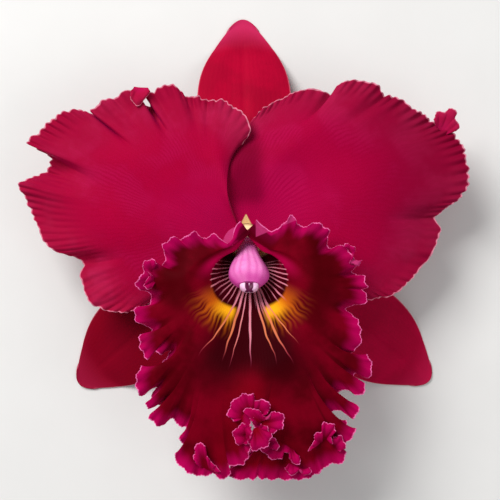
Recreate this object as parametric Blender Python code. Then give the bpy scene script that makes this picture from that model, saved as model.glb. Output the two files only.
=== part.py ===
"""A picked cattleya bloom, lying face up on its three sepal tips.

Three sepals and two broad petals stand round the tip of the ovary. In front of them the lip
is rolled into a tube round the column and opens into a frilled skirt. The ovary and its stalk
run back from the flower and bend down under the lip.

The flower is modelled about its own axis: X to the right, Y towards the dorsal sepal, Z out of
its face, with Z = 0 on the surface it lies on. At the end it is moved sideways so that the
origin is under the middle of the whole bloom.
"""

import math

import bmesh
import bpy
import numpy as np

MM = 0.001
SIDEWAYS = np.array([1.0, 0.0, 0.0])

# The receptacle is the swollen tip of the ovary. Every other piece of the flower meets it.
RECEPTACLE_RADIUS = 6.0 * MM
RECEPTACLE_BOTTOM = 20.0 * MM
RECEPTACLE_TOP = 29.0 * MM
SEAT_GAP = 0.3 * MM
CLAW_RADIUS = RECEPTACLE_RADIUS + SEAT_GAP

# Thickness of the fleshy sheets
SEPAL_THICKNESS = 1.0 * MM
PETAL_THICKNESS = 0.9 * MM
LIP_THICKNESS = 0.7 * MM

# Sepals: direction round the flower in degrees, length from the axis, and half the width
SEPAL_CLAW_ANGLE = 80.0
SEPALS = {
    "dorsal_sepal": (91.2, 87.5 * MM, 18.0 * MM),
    "lateral_sepal_left": (220.5, 87.5 * MM, 17.5 * MM),
    "lateral_sepal_right": (322.5, 91.0 * MM, 17.5 * MM),
}
# From the claw to the tip: (share of the length, share of the half width beyond the claw) and
# (share of the length, height of the midline in mm)
SEPAL_WIDTHS = [
    (0.12, 0.38), (0.3, 0.66), (0.5, 0.93), (0.66, 1.0), (0.8, 0.87), (0.9, 0.63), (1.0, 0.3),
]
SEPAL_HEIGHTS = [
    (0.0, 23.4), (0.15, 22.4), (0.4, 18.0), (0.65, 10.2), (0.8, 4.0), (0.9, 0.3), (0.96, 0.2),
    (1.0, 1.0),
]
SEPAL_TIP_ROUNDING = 0.2
SEPAL_TROUGH = 1.6 * MM

# Petals: the margin is a list of (direction in degrees, distance from the axis in mm, height
# of the ruffle there in mm), walked from the upper inner corner, over the top and the tip, to
# the lower inner corner.
PETAL_BASE_HEIGHTS = {"petal_left": 27.7 * MM, "petal_right": 25.7 * MM}
PETAL_MARGINS = {
    "petal_left": [
        (91, 38, 0.2), (89.5, 44, 0.5), (97, 51, 0.8), (107, 56, 1.3), (117, 65, 1.8),
        (127, 71, 2.4), (137, 76, 2.6), (147, 85, 1.8), (154, 89.5, 1.0), (158.5, 79.5, 0.8),
        (165, 87.5, 1.0), (172, 81.5, 1.4), (180, 76, 1.4), (187, 67, 1.8), (194, 64.5, 2.2),
        (202, 63, 2.0), (207.5, 58.5, 1.0), (211, 51, 0.4), (213, 43, 0.0),
    ],
    "petal_right": [
        (105, 36, 0.0), (96, 42, 0.1), (88, 46, 0.4), (80, 53, 0.6), (72, 58.5, 0.9),
        (64, 63, 1.8), (57, 71, 2.2), (49, 75, 2.2), (42, 76, 2.6), (35, 83.5, 2.2),
        (28, 84, 1.4), (20.5, 88.5, 1.2), (12.5, 82, 1.8), (6, 73, 1.8), (-2, 71, 2.0),
        (-10, 65, 1.6), (-18, 61.5, 1.6), (-25, 55, 1.2), (-30, 48, 0.8), (-32, 38, 0.4),
    ],
}
PETAL_CLAWS = {"petal_left": (122.0, 186.0), "petal_right": (128.0, -6.0)}
# How far the blade arches up, how far its margin falls back, how far the right blade is lifted
# past its claw, and how far each upper inner corner stands above or below the rest
PETAL_ARCH = 3.4 * MM
PETAL_FALL = 2.5 * MM
PETAL_RIGHT_LIFT = 1.4 * MM
PETAL_INNER_LIFT = {"petal_left": 1.8 * MM, "petal_right": -3.2 * MM}
PETAL_WAVES = 15

# Lip: rings from the claw to the mouth of its tube. Each has its centre's Y, its half width,
# its reach down and up, its heights at the bottom, sides and top, and its half span in degrees.
LIP_RINGS = [
    (0.0, 6.8, 6.8, 6.8, 26.8, 27.2, 27.4, 70),
    (-0.9, 7.6, 7.4, 7.6, 27.6, 29.7, 30.6, 82),
    (-3.0, 9.0, 8.6, 9.2, 29.2, 32.0, 32.6, 136),
    (-7.5, 10.2, 9.5, 10.6, 33.5, 34.5, 34.5, 173),
    (-13.5, 13.6, 16.0, 15.0, 42.0, 43.5, 40.0, 186),
    (-16.5, 22.0, 30.0, 17.4, 48.5, 46.0, 43.3, 168),
]
LIP_KNOTS = (0.0, 0.05, 0.11, 0.22, 0.42, 0.64)
LIP_SIDEWAYS = 0.8
LIP_OVERLAP = 1.2 * MM
# The skirt's margin before it is ruffled, about 7 mm from point to point: the share of the
# ring it hangs from, X, Y and Z in mm, and how far the margin there stands up in mm. It is
# walked from the upper left, round the bottom with its deep narrow sinus, to the upper right.
LIP_MARGIN = [
    (-1, -7.2, 4, 43.5, 0), (-0.92, -14, 3.8, 43, 0), (-0.85, -20.5, 1.6, 42.5, 0.4),
    (-0.78, -26, -1.2, 42, 0), (-0.71, -30.5, -6, 41.5, 0.2), (-0.64, -34.2, -12, 41, 0.8),
    (-0.57, -36.6, -18.5, 41, 0.6), (-0.51, -37.2, -25, 41, 0.1), (-0.46, -38, -32, 41, 0),
    (-0.42, -37.6, -39, 41, 0.4), (-0.38, -37.8, -46, 41, 0), (-0.345, -37.2, -53, 41, 0.15),
    (-0.315, -34.8, -59.5, 41, 0.5), (-0.29, -31, -65.2, 41.5, 0), (-0.265, -26.8, -70.5, 42, 0.7),
    (-0.24, -24.4, -77, 42, 0.8), (-0.215, -19.5, -82, 42, 0.8), (-0.19, -13.5, -84, 42, 0.2),
    (-0.165, -7.2, -85.4, 42.3, 0.1), (-0.135, -1.4, -83.2, 44, 0.6), (-0.1, 0.1, -77.5, 47.5, 1.8),
    (-0.065, 0.1, -71, 50.5, 2), (-0.03, 0, -64.5, 51.5, 1.6), (0, 1.1, -60.5, 51.5, 1),
    (0.03, 2.2, -64.5, 51.5, 1.6), (0.065, 2.1, -71, 50, 2), (0.1, 2.1, -77.5, 47.5, 1.8),
    (0.135, 3.6, -83.6, 43.5, 0.6), (0.165, 10.6, -86.4, 42, 0.15), (0.19, 17.6, -85.6, 42, 0.2),
    (0.215, 24.6, -82.4, 42, 0.8), (0.24, 31, -78, 42, 0.8), (0.265, 35.4, -72.5, 42, 0.8),
    (0.29, 36.4, -65.5, 41.5, 0.25), (0.32, 38, -58.8, 41, 0), (0.35, 40.2, -52.2, 41, 0.2),
    (0.385, 41.4, -45.2, 41, 0), (0.42, 40, -38.2, 41, 0.45), (0.46, 38.6, -31.2, 41, 0.1),
    (0.51, 39, -24.2, 41, 0), (0.57, 40.8, -17.4, 41, 0.6), (0.63, 39.4, -10.6, 41, 0.4),
    (0.7, 35.8, -4.6, 41.5, 0.1), (0.77, 30.4, 0, 42, 0.25), (0.84, 24.2, 3.6, 42.5, 0.4),
    (0.92, 17.4, 5.2, 43, 0.1), (1, 10.4, 4, 43.5, 0),
]
# Skirt between the mouth and the margin: how far it runs straight in from the margin, how much
# it heads away from the mouth there, and the width from which it keeps the mouth's full slope
SKIRT_REACH = 5.5 * MM
SKIRT_DRIFT = 0.4
SKIRT_FULL_WIDTH = 22.0 * MM
# Ruffle of the skirt: its height, the number of waves, its swing outwards and along the margin
# as shares of the height, and the share of that swing that is lost beside the sinus
RUFFLE_HEIGHT = 2.0 * MM
RUFFLE_WAVES = 30
RUFFLE_OUTWARDS = 0.8
RUFFLE_ALONG = 0.5
RUFFLE_LAG = 0.7
SINUS_CALM = 0.85
SINUS_SHARE = 0.14

# Column: its base on the receptacle and its tip, with half widths and half heights along it
COLUMN_BASE = (0.0, 0.0, RECEPTACLE_TOP + SEAT_GAP)
COLUMN_TIP = (0.8 * MM, -16.5 * MM, 46.0 * MM)
COLUMN_TILT = 46.0
COLUMN_SECTIONS = [
    (0.00, 5.6, 5.4), (0.05, 5.2, 5.0), (0.13, 4.0, 3.7), (0.28, 4.0, 3.5), (0.42, 4.9, 3.7),
    (0.56, 6.2, 3.9), (0.68, 7.1, 4.0), (0.78, 7.4, 3.9), (0.87, 6.9, 3.5), (0.94, 5.8, 3.0),
    (1.00, 4.4, 2.4),
]
ANTHER_RADII = (3.3 * MM, 1.9 * MM, 2.6 * MM)

# Stalk: the middle line of the ovary and pedicel below the receptacle, with its radius
STALK_LINE = [
    ((0, 0, 20), 4.2), ((0, -0.3, 16), 3.3), ((0, -2.2, 11.5), 3.2), ((0, -6.5, 7.6), 3.2),
    ((0, -13, 5.2), 3.1), ((0, -22, 4.0), 2.9), ((0, -34, 3.4), 2.6), ((0, -48, 3.3), 2.6),
    ((0, -60, 3.5), 2.8),
]
OVARY_RIBS = 3
OVARY_RIB_DEPTH = 0.07

COLOURS = {
    "sepal": ((0.36, 0.005, 0.03), 0.5),
    "petal": ((0.38, 0.004, 0.05), 0.5),
    "lip": ((0.2, 0.002, 0.015), 0.45),
    "column": ((0.75, 0.2, 0.5), 0.35),
    "anther": ((0.85, 0.55, 0.75), 0.4),
    "stalk": ((0.3, 0.38, 0.14), 0.5),
}


def ease(start, end, value):
    """0 before start, 1 after end, and an even S curve between them."""
    share = np.clip((value - start) / (end - start), 0.0, 1.0)
    return share * share * (3.0 - 2.0 * share)


def through(knots, values, at):
    """A smooth curve through the values at the knots, read at every place in at."""
    knots = np.asarray(knots, float)
    values = np.asarray(values, float)
    slopes = np.gradient(values, knots, axis=0)
    at = np.clip(np.asarray(at, float), knots[0], knots[-1])
    i = np.clip(np.searchsorted(knots, at, side="right") - 1, 0, len(knots) - 2)
    trailing = (1,) * (values.ndim - 1)
    width = (knots[i + 1] - knots[i]).reshape(np.shape(at) + trailing)
    u = (at - knots[i]).reshape(np.shape(at) + trailing) / width
    return (
        (1 + 2 * u) * (1 - u) ** 2 * values[i]
        + u * (1 - u) ** 2 * width * slopes[i]
        + u * u * (3 - 2 * u) * values[i + 1]
        + u * u * (u - 1) * width * slopes[i + 1]
    )


def along(values, q):
    """A smooth curve through evenly spaced values, with q from 0 to 1."""
    return through(np.linspace(0.0, 1.0, len(values)), values, q)


def sepal_surface(direction, length, half_width):
    """A sepal's middle surface: q runs across it and t from the claw to the tip."""
    turn = math.radians(direction)
    heading = (math.cos(turn), math.sin(turn))
    claw_half_width = CLAW_RADIUS * math.sin(math.radians(SEPAL_CLAW_ANGLE / 2))
    widths = np.array([(0.0, claw_half_width / half_width), *SEPAL_WIDTHS])
    heights = np.array(SEPAL_HEIGHTS)

    def point(q, t):
        across = 2.0 * q - 1.0
        width = through(widths[:, 0], widths[:, 1], t)
        # The base follows the round wall of the receptacle, and the tip closes in an arc.
        base = np.sqrt(CLAW_RADIUS**2 - (claw_half_width * across) ** 2)
        reach = length - SEPAL_TIP_ROUNDING * half_width * across**2
        u = base + (reach - base) * t
        v = across * width * half_width
        z = through(heights[:, 0], heights[:, 1] * MM, t)
        z = z + SEPAL_TROUGH * np.sin(math.pi * t) * (across**2 - 0.4)
        z = np.maximum(z, SEPAL_THICKNESS / 2)
        return np.stack(
            [heading[0] * u - heading[1] * v, heading[1] * u + heading[0] * v, z], -1
        )

    return point


def petal_surface(name):
    """A petal's middle surface: q runs along its margin and t from the claw to the margin."""
    margin = np.array(PETAL_MARGINS[name], float)
    first, last = PETAL_CLAWS[name]
    right = name == "petal_right"
    drift = 2.0 if right else 0.5

    def point(q, t):
        claw = first + (last - first) * q
        turn = (1 - t) ** (0.7 + 1.1 * ease(0.0, 0.25, q))
        angle = along(margin[:, 0], q)
        angle = np.radians(angle + (claw - angle) * turn)
        edge = along(margin[:, 1], q) * MM
        phase = 2 * math.pi * (PETAL_WAVES * q + 0.5 * np.sin(9 * q + drift))
        wave = np.sin(phase) + 0.4 * np.sin(1.63 * phase + drift)
        depth = 0.8 - 0.12 * ease(0.45, 0.7, q)
        ruffle = along(margin[:, 2], q) * MM * ease(depth, 1.0, t) ** 1.2
        radius = CLAW_RADIUS + (edge - CLAW_RADIUS) * t + 0.8 * ruffle * np.cos(phase)
        angle = angle + 0.3 * ruffle * np.sin(2 * phase) / edge
        # The blade arches over its broad middle and falls back towards the margin.
        z = PETAL_BASE_HEIGHTS[name] + PETAL_ARCH * math.sin(math.pi * min(t * 1.1, 1.0))
        z = z - PETAL_FALL * ease(0.5, 1.0, t)
        z = z + (PETAL_RIGHT_LIFT * ease(0.1, 0.5, t) if right else 0.0)
        # The upper inner corner of the left petal lies over that of the right one.
        inner = ease(0.34, 0.1, q) if right else ease(0.16, 0.0, q)
        z = z + inner * ease(0.0, 0.4, t) * PETAL_INNER_LIFT[name] + ruffle * wave
        return np.stack([radius * np.cos(angle), radius * np.sin(angle), z], -1)

    return point


def lip_ring(ring, share):
    """Points of one ring of the lip, at shares from -1 (upper left) over 0 (bottom) to 1."""
    centre_y, half_width, down, up, z_bottom, z_side, z_top, half_span = ring
    turn = np.radians(share * half_span)
    sideways, downwards = np.sin(turn), np.cos(turn)
    reach = np.where(downwards > 0, down, up)
    x = half_width * sideways + LIP_SIDEWAYS * min(1.0, -centre_y / 10)
    y = centre_y - reach * downwards
    z = z_side + np.where(downwards > 0, z_bottom - z_side, z_top - z_side) * downwards**2
    # Over the column the left edge of the tube lies on the right one.
    lift = -LIP_OVERLAP * np.sign(share) * ease(0.8, 1.0, abs(share)) * ease(160, 180, half_span)
    return np.stack([x * MM, y * MM + lift, z * MM + 0.6 * lift], -1)


def lip_margin(q):
    """The skirt's margin at q, how far it stands up there, and the ways out and along it."""
    table = np.array(LIP_MARGIN)[:, 1:] * MM
    edge = along(table, q)
    step = 2e-3
    ahead = (along(table, q + step) - along(table, q - step))[:, :3]
    ahead[:, 2] = 0.0
    ahead /= np.linalg.norm(ahead, axis=1, keepdims=True)
    outwards = np.stack([ahead[:, 1], -ahead[:, 0], np.zeros_like(q)], -1)
    return edge[:, :3], np.maximum(edge[:, 3:], 0.0), outwards, ahead


def lip_surface(q, t):
    """The lip's middle surface: q runs along its margin and t from the claw to the margin."""
    share = along([row[0] for row in LIP_MARGIN], q)
    rings = np.stack([lip_ring(ring, share) for ring in LIP_RINGS])
    mouth = LIP_KNOTS[-1]
    if t <= mouth:
        return through(LIP_KNOTS, rings, t)
    edge, rise, outwards, ahead = lip_margin(q)
    upwards = np.array([0.0, 0.0, 1.0])
    # The skirt is gathered: its margin swings up and down, in and out, and to and fro.
    phase = (2 * math.pi * (RUFFLE_WAVES * q + 0.35 * np.sin(11 * q + 1.0)))[:, None]
    swell = RUFFLE_HEIGHT * (0.9 + 0.3 * np.sin(31 * q) + 0.15 * np.sin(77 * q))
    swell = (swell * ease(0.0, 0.07, q) * ease(1.0, 0.94, q))[:, None]
    # Beside the sinus there is no room to swing sideways.
    room = 1 - SINUS_CALM * np.exp(-((share / SINUS_SHARE) ** 6))[:, None]
    swing = swell * (
        RUFFLE_OUTWARDS * outwards * room * np.cos(phase)
        + RUFFLE_ALONG * ahead * room * np.sin(phase)
        + upwards * (0.4 + 0.6 * room) * np.sin(phase + RUFFLE_LAG)
    )
    start = rings[-1]
    slope = (rings[-1] - rings[-2]) / (LIP_KNOTS[-1] - LIP_KNOTS[-2])
    span = np.linalg.norm(edge - start, axis=1, keepdims=True)
    second = start + slope * (1.0 - mouth) / 3 * np.minimum(span / SKIRT_FULL_WIDTH, 1.0)
    way = outwards + SKIRT_DRIFT * (edge - start) / span
    way /= np.linalg.norm(way, axis=1, keepdims=True)
    third = edge - way * np.minimum(SKIRT_REACH, 0.4 * span)
    last = edge + upwards * rise
    u = (t - mouth) / (1.0 - mouth)
    return (
        start * (1 - u) ** 3
        + second * 3 * u * (1 - u) ** 2
        + third * 3 * u * u * (1 - u)
        + last * u**3
        + swing * u**4
    )


def graded_sheet(surface, rows):
    """A triangulated sheet. rows lists (t, number of steps along the margin): a row has as
    many steps as the one before it, or twice as many."""
    sheet = bmesh.new()
    lines = []
    for t, steps in rows:
        q = np.linspace(0.0, 1.0, steps + 1)
        lines.append([sheet.verts.new(p) for p in surface(q, t)])
    for inner, outer in zip(lines, lines[1:]):
        if len(inner) == len(outer):
            for i in range(len(inner) - 1):
                a, b, c, d = inner[i], inner[i + 1], outer[i + 1], outer[i]
                for corners in ((a, b, c), (a, c, d)) if i % 2 else ((a, b, d), (b, c, d)):
                    sheet.faces.new(corners)
        else:
            for i in range(len(inner) - 1):
                left, middle, right = outer[2 * i : 2 * i + 3]
                sheet.faces.new((inner[i], middle, left))
                sheet.faces.new((inner[i], inner[i + 1], middle))
                sheet.faces.new((inner[i + 1], right, middle))
    return sheet


def link(name, mesh, material):
    obj = bpy.data.objects.new(name, mesh)
    mesh.materials.append(material)
    mesh.shade_smooth()
    bpy.context.scene.collection.objects.link(obj)
    return obj


def blade(name, surface, rows, thickness, material):
    """A sheet given its thickness by a Solidify modifier, so that both faces split alike."""
    sheet = graded_sheet(surface, rows)
    bmesh.ops.recalc_face_normals(sheet, faces=sheet.faces)
    mesh = bpy.data.meshes.new(name)
    sheet.to_mesh(mesh)
    sheet.free()
    obj = link(name, mesh, material)
    solidify = obj.modifiers.new("Thickness", "SOLIDIFY")
    solidify.thickness = thickness
    solidify.offset = 0.0
    return obj


def loft(name, rings, material):
    """A closed solid through rings of points, with a flat cap at each end."""
    solid = bmesh.new()
    lines = [[solid.verts.new(p) for p in ring] for ring in rings]
    for first, second in zip(lines, lines[1:]):
        for i in range(len(first)):
            j = (i + 1) % len(first)
            solid.faces.new((first[i], first[j], second[j], second[i]))
    solid.faces.new(lines[0][::-1])
    solid.faces.new(lines[-1])
    bmesh.ops.recalc_face_normals(solid, faces=solid.faces)
    mesh = bpy.data.meshes.new(name)
    solid.to_mesh(mesh)
    solid.free()
    obj = link(name, mesh, material)
    mesh.set_sharp_from_angle(angle=math.radians(50))
    return obj


def finish(name):
    colour, roughness = COLOURS[name]
    material = bpy.data.materials.new(name)
    material.use_nodes = True
    shader = material.node_tree.nodes["Principled BSDF"]
    shader.inputs["Base Color"].default_value = (*colour, 1.0)
    shader.inputs["Roughness"].default_value = roughness
    shader.inputs["Metallic"].default_value = 0.0
    return material


def sepals(material):
    stops = (0.0, 0.1, 0.22, 0.36, 0.5, 0.62, 0.72, 0.8, 0.86, 0.905, 0.92, 0.94, 0.955, 1.0)
    rows = [(t, 8) for t in stops]
    return [
        blade(name, sepal_surface(*sizes), rows, SEPAL_THICKNESS, material)
        for name, sizes in SEPALS.items()
    ]


def petals(material):
    rows = [(t, 20) for t in (0.0, 0.1, 0.25)]
    rows += [(t, 40) for t in (0.42, 0.56, 0.7)]
    rows += [(t, 80) for t in (0.8, 0.88, 0.94, 1.0)]
    return [
        blade(name, petal_surface(name), rows, PETAL_THICKNESS, material)
        for name in PETAL_MARGINS
    ]


def lip(material):
    rows = [(t, 52) for t in (0.0, 0.05, 0.1, 0.16, 0.22, 0.32, 0.42, 0.53)]
    rows += [(0.64, 104), (0.74, 104), (0.82, 208), (0.89, 208), (0.95, 208), (1.0, 208)]
    return blade("lip", lip_surface, rows, LIP_THICKNESS, material)


def column_frame(share):
    """The column's direction and its downward side, which turn over its first third."""
    tilt = math.radians(COLUMN_TILT) * ease(0.0, 0.35, share)
    return (
        np.array([0.0, -math.sin(tilt), math.cos(tilt)]),
        np.array([0.0, -math.cos(tilt), -math.sin(tilt)]),
    )


def column(material):
    """The column: a club of rounded sections that widens towards its tip."""
    base, tip = np.array(COLUMN_BASE), np.array(COLUMN_TIP)
    rings = []
    for share, half_width, half_height in COLUMN_SECTIONS:
        _, down = column_frame(share)
        middle = base + (tip - base) * share
        rings.append([
            middle + SIDEWAYS * half_width * MM * math.cos(a) + down * half_height * MM * math.sin(a)
            for a in np.linspace(0, 2 * math.pi, 20, endpoint=False)
        ])
    return loft("column", rings, material)


def anther_cap(material):
    """A small rounded cap seated on the flat tip of the column."""
    axis, down = column_frame(1.0)
    start = np.array(COLUMN_TIP) + axis * SEAT_GAP
    rings = []
    for share in (0.0, 0.3, 0.6, 0.85, 0.97):
        shrink = math.sqrt(1 - share**2)
        rings.append([
            start
            + axis * ANTHER_RADII[2] * share
            + SIDEWAYS * ANTHER_RADII[0] * shrink * math.cos(a)
            + down * ANTHER_RADII[1] * shrink * math.sin(a)
            for a in np.linspace(0, 2 * math.pi, 16, endpoint=False)
        ])
    return loft("anther_cap", rings, material)


def ovary_stalk(material):
    """Receptacle, ribbed ovary and pedicel as one stalk that bends down to the surface."""
    line = np.array([place for place, _ in STALK_LINE], float) * MM
    radii = np.array([radius for _, radius in STALK_LINE]) * MM
    spread = np.linspace(0.0, 1.0, 17)
    centres = along(line, spread)
    sizes = along(radii, spread)
    angles = np.linspace(0, 2 * math.pi, 18, endpoint=False)
    rings = [
        [(r * math.cos(a), r * math.sin(a), z) for a in angles]
        for r, z in (
            (RECEPTACLE_RADIUS * 0.97, RECEPTACLE_TOP),
            (RECEPTACLE_RADIUS, RECEPTACLE_TOP - 0.4 * MM),
            (RECEPTACLE_RADIUS, RECEPTACLE_BOTTOM + 2.6 * MM),
            (RECEPTACLE_RADIUS * 0.88, RECEPTACLE_BOTTOM + 1.2 * MM),
        )
    ]
    for i, (centre, size) in enumerate(zip(centres, sizes)):
        ahead = centres[min(i + 1, len(centres) - 1)] - centres[max(i - 1, 0)]
        ahead /= np.linalg.norm(ahead)
        up = np.cross(SIDEWAYS, ahead)
        ribs = OVARY_RIB_DEPTH * ease(0.02, 0.12, spread[i]) * ease(0.6, 0.4, spread[i])
        rings.append([
            centre
            + (SIDEWAYS * math.cos(a) + up * math.sin(a))
            * size * (1 - ribs * (0.5 + 0.5 * math.cos(OVARY_RIBS * a)))
            for a in angles
        ])
    return loft("ovary_stalk", rings, material)


def centre_on_origin(pieces):
    """Moves the bloom sideways so that the origin is under the middle of its bounding box."""
    graph = bpy.context.evaluated_depsgraph_get()
    corners = np.array([
        tuple(obj.evaluated_get(graph).matrix_world @ vertex.co)
        for obj in pieces
        for vertex in obj.evaluated_get(graph).data.vertices
    ])
    middle = (corners.min(0) + corners.max(0)) / 2
    bloom = bpy.data.objects.new("bloom", None)
    bpy.context.scene.collection.objects.link(bloom)
    for obj in pieces:
        obj.parent = bloom
    bloom.location = (-middle[0], -middle[1], 0.0)


def main():
    for obj in list(bpy.data.objects):
        bpy.data.objects.remove(obj)
    finishes = {name: finish(name) for name in COLOURS}
    pieces = sepals(finishes["sepal"]) + petals(finishes["petal"])
    pieces.append(lip(finishes["lip"]))
    pieces.append(column(finishes["column"]))
    pieces.append(anther_cap(finishes["anther"]))
    pieces.append(ovary_stalk(finishes["stalk"]))
    bpy.context.view_layer.update()
    centre_on_origin(pieces)
    bpy.context.view_layer.update()


main()
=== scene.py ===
"""A picked cattleya bloom lying face up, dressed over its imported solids.

The pieces come in the order in which the flower is put together: stalk and ovary, sepals,
petals, lip, column and anther cap. Each is modelled about the flower's own axis, with X to
the right, Y towards the dorsal sepal and Z out of the face, in metres.
"""

import math

import bmesh
import bpy
import numpy as np
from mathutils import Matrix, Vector


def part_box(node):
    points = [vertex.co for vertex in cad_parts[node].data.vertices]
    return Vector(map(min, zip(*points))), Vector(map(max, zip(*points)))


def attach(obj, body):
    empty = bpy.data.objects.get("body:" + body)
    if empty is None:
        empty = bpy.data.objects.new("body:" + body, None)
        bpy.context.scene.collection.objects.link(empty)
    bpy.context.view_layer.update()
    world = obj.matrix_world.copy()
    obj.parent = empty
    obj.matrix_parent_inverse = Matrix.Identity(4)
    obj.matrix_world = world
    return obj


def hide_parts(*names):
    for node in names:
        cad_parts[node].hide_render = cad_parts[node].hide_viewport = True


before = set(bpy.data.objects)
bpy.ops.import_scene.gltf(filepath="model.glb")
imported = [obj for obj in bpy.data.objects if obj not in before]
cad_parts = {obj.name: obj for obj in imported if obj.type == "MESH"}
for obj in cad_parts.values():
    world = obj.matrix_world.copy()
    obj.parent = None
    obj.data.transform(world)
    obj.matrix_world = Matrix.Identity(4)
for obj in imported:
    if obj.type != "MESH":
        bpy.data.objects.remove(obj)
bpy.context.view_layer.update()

# Stalk and ovary
# One green stem: a round receptacle that carries every other piece, the ribbed ovary behind
# it and the pedicel, cut off short with a knife. Waxy, and blushed red where it meets the flower.

MM = 0.001
SIDEWAYS = np.array([1.0, 0.0, 0.0])

# The flower's axis runs up the middle of the stalk, where the column's round foot stands.
COLUMN_FOOT = 5.4 * MM
stem_low, stem_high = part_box("ovary_stalk")
_, column_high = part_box("column")
FLOWER_AXIS = Vector(((stem_low.x + stem_high.x) / 2, column_high.y - COLUMN_FOOT, 0.0))

RECEPTACLE_RADIUS = 6.0 * MM
RECEPTACLE_TOP = 29.0 * MM
# The receptacle's rings, as shares of its radius and depths in mm below its top
RECEPTACLE_RINGS = (
    (0.3, 0.0), (0.93, 0.0), (0.985, 0.15), (1.0, 0.5), (1.0, 3.0), (1.0, 6.0), (0.98, 7.0),
    (0.93, 7.6), (0.88, 7.9),
)
# The stem's middle line in mm, with its radius at each place
STEM_LINE = [
    ((0, 0, 20), 4.2), ((0, -0.3, 16), 3.3), ((0, -2.2, 11.5), 3.2), ((0, -6.5, 7.6), 3.2),
    ((0, -13, 5.2), 3.1), ((0, -22, 4.0), 2.9), ((0, -34, 3.4), 2.6), ((0, -48, 3.3), 2.6),
    ((0, -60, 3.5), 2.8),
]
STEM_STEPS = 70
STEM_SIDES = 48
STEM_GROOVES = 3
# A groove's depth as a share of the radius, and its width as a share of the way to the next
GROOVE_DEPTH = 0.1
GROOVE_WIDTH = 0.35
# The cut end: shares of the radius, and how far in mm the face has dried hollow
CUT_RINGS = ((0.9, 0.0), (0.6, -0.15), (0.25, -0.25))
STEM_GREEN = (0.16, 0.24, 0.045, 1)
STEM_PALE = (0.36, 0.42, 0.14, 1)
STEM_BLUSH = (0.3, 0.03, 0.05, 1)
STEM_CREAM = (0.7, 0.42, 0.2, 1)
STEM_CUT = (0.55, 0.56, 0.3, 1)


def ease(start, end, value):
    """0 before start, 1 after end, and an even S curve between them."""
    share = np.clip((value - start) / (end - start), 0.0, 1.0)
    return share * share * (3.0 - 2.0 * share)


def through(knots, values, at):
    """A smooth curve through the values at the knots, read at every place in at."""
    knots = np.asarray(knots, float)
    values = np.asarray(values, float)
    slopes = np.gradient(values, knots, axis=0)
    at = np.clip(np.asarray(at, float), knots[0], knots[-1])
    i = np.clip(np.searchsorted(knots, at, side="right") - 1, 0, len(knots) - 2)
    trailing = (1,) * (values.ndim - 1)
    width = (knots[i + 1] - knots[i]).reshape(np.shape(at) + trailing)
    u = (at - knots[i]).reshape(np.shape(at) + trailing) / width
    return (
        (1 + 2 * u) * (1 - u) ** 2 * values[i]
        + u * (1 - u) ** 2 * width * slopes[i]
        + u * u * (3 - 2 * u) * values[i + 1]
        + u * u * (u - 1) * width * slopes[i + 1]
    )


def along(values, q):
    """A smooth curve through evenly spaced values, with q from 0 to 1."""
    return through(np.linspace(0.0, 1.0, len(values)), values, q)


def make_piece(name, points, faces, marks, material, stands_for=None):
    """Makes one piece on the flower's axis, with its named marks for the material to read."""
    mesh = bpy.data.meshes.new(name)
    mesh.from_pydata([tuple(p) for p in points], [], faces)
    for mark, values in marks.items():
        mesh.attributes.new(mark, "FLOAT", "POINT").data.foreach_set("value", values)
    mesh.materials.append(material)
    mesh.shade_smooth()
    mesh.set_sharp_from_angle(angle=math.radians(60))
    piece = bpy.data.objects.new(name, mesh)
    piece.location = FLOWER_AXIS
    bpy.context.scene.collection.objects.link(piece)
    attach(piece, "root")
    if stands_for:
        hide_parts(stands_for)


def round_body(rings):
    """Points and faces of a closed body through rings of points, with a cap at each end."""
    count = len(rings[0])
    points = np.concatenate(rings)
    faces = []
    for k in range(len(rings) - 1):
        for i in range(count):
            j = (i + 1) % count
            faces.append((k * count + i, k * count + j, (k + 1) * count + j, (k + 1) * count + i))
    faces.append(tuple(range(count))[::-1])
    faces.append(tuple(range((len(rings) - 1) * count, len(rings) * count)))
    return points, faces


def add(tree, kind, inputs=None, **settings):
    """Adds a shader node. An input is a value, or another node's socket to link."""
    made = tree.nodes.new("ShaderNode" + kind)
    for name, value in settings.items():
        setattr(made, name, value)
    for name, value in (inputs or {}).items():
        if isinstance(value, bpy.types.NodeSocket):
            tree.links.new(value, made.inputs[name])
        else:
            made.inputs[name].default_value = value
    return made


def reckon(tree, operation, first, second=0.0, clamp=False):
    """One step of arithmetic on values or sockets."""
    return add(
        tree, "Math", {0: first, 1: second}, operation=operation, use_clamp=clamp
    ).outputs[0]


def fade(tree, value, start, end, low=0.0, high=1.0):
    """Goes smoothly from low to high while the value goes from start to end."""
    return add(
        tree, "MapRange",
        {"Value": value, "From Min": start, "From Max": end, "To Min": low, "To Max": high},
        interpolation_type="SMOOTHSTEP",
    ).outputs[0]


def paint(tree, share, under, over):
    """Lays one colour over another by a share from 0 to 1."""
    return add(tree, "Mix", {0: share, 6: under, 7: over}, data_type="RGBA").outputs[2]


def read(tree, mark):
    """A mark that the mesh carries at each point."""
    return add(tree, "Attribute", attribute_name=mark).outputs["Fac"]


def clouds(tree, scale, detail, roughness=0.5):
    """Cloudy noise from 0 to 1, fixed to the piece, with so many clouds to the metre."""
    return add(tree, "TexNoise", {
        "Vector": add(tree, "TexCoord").outputs["Object"], "Scale": scale, "Detail": detail,
        "Roughness": roughness,
    }).outputs[0]


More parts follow.
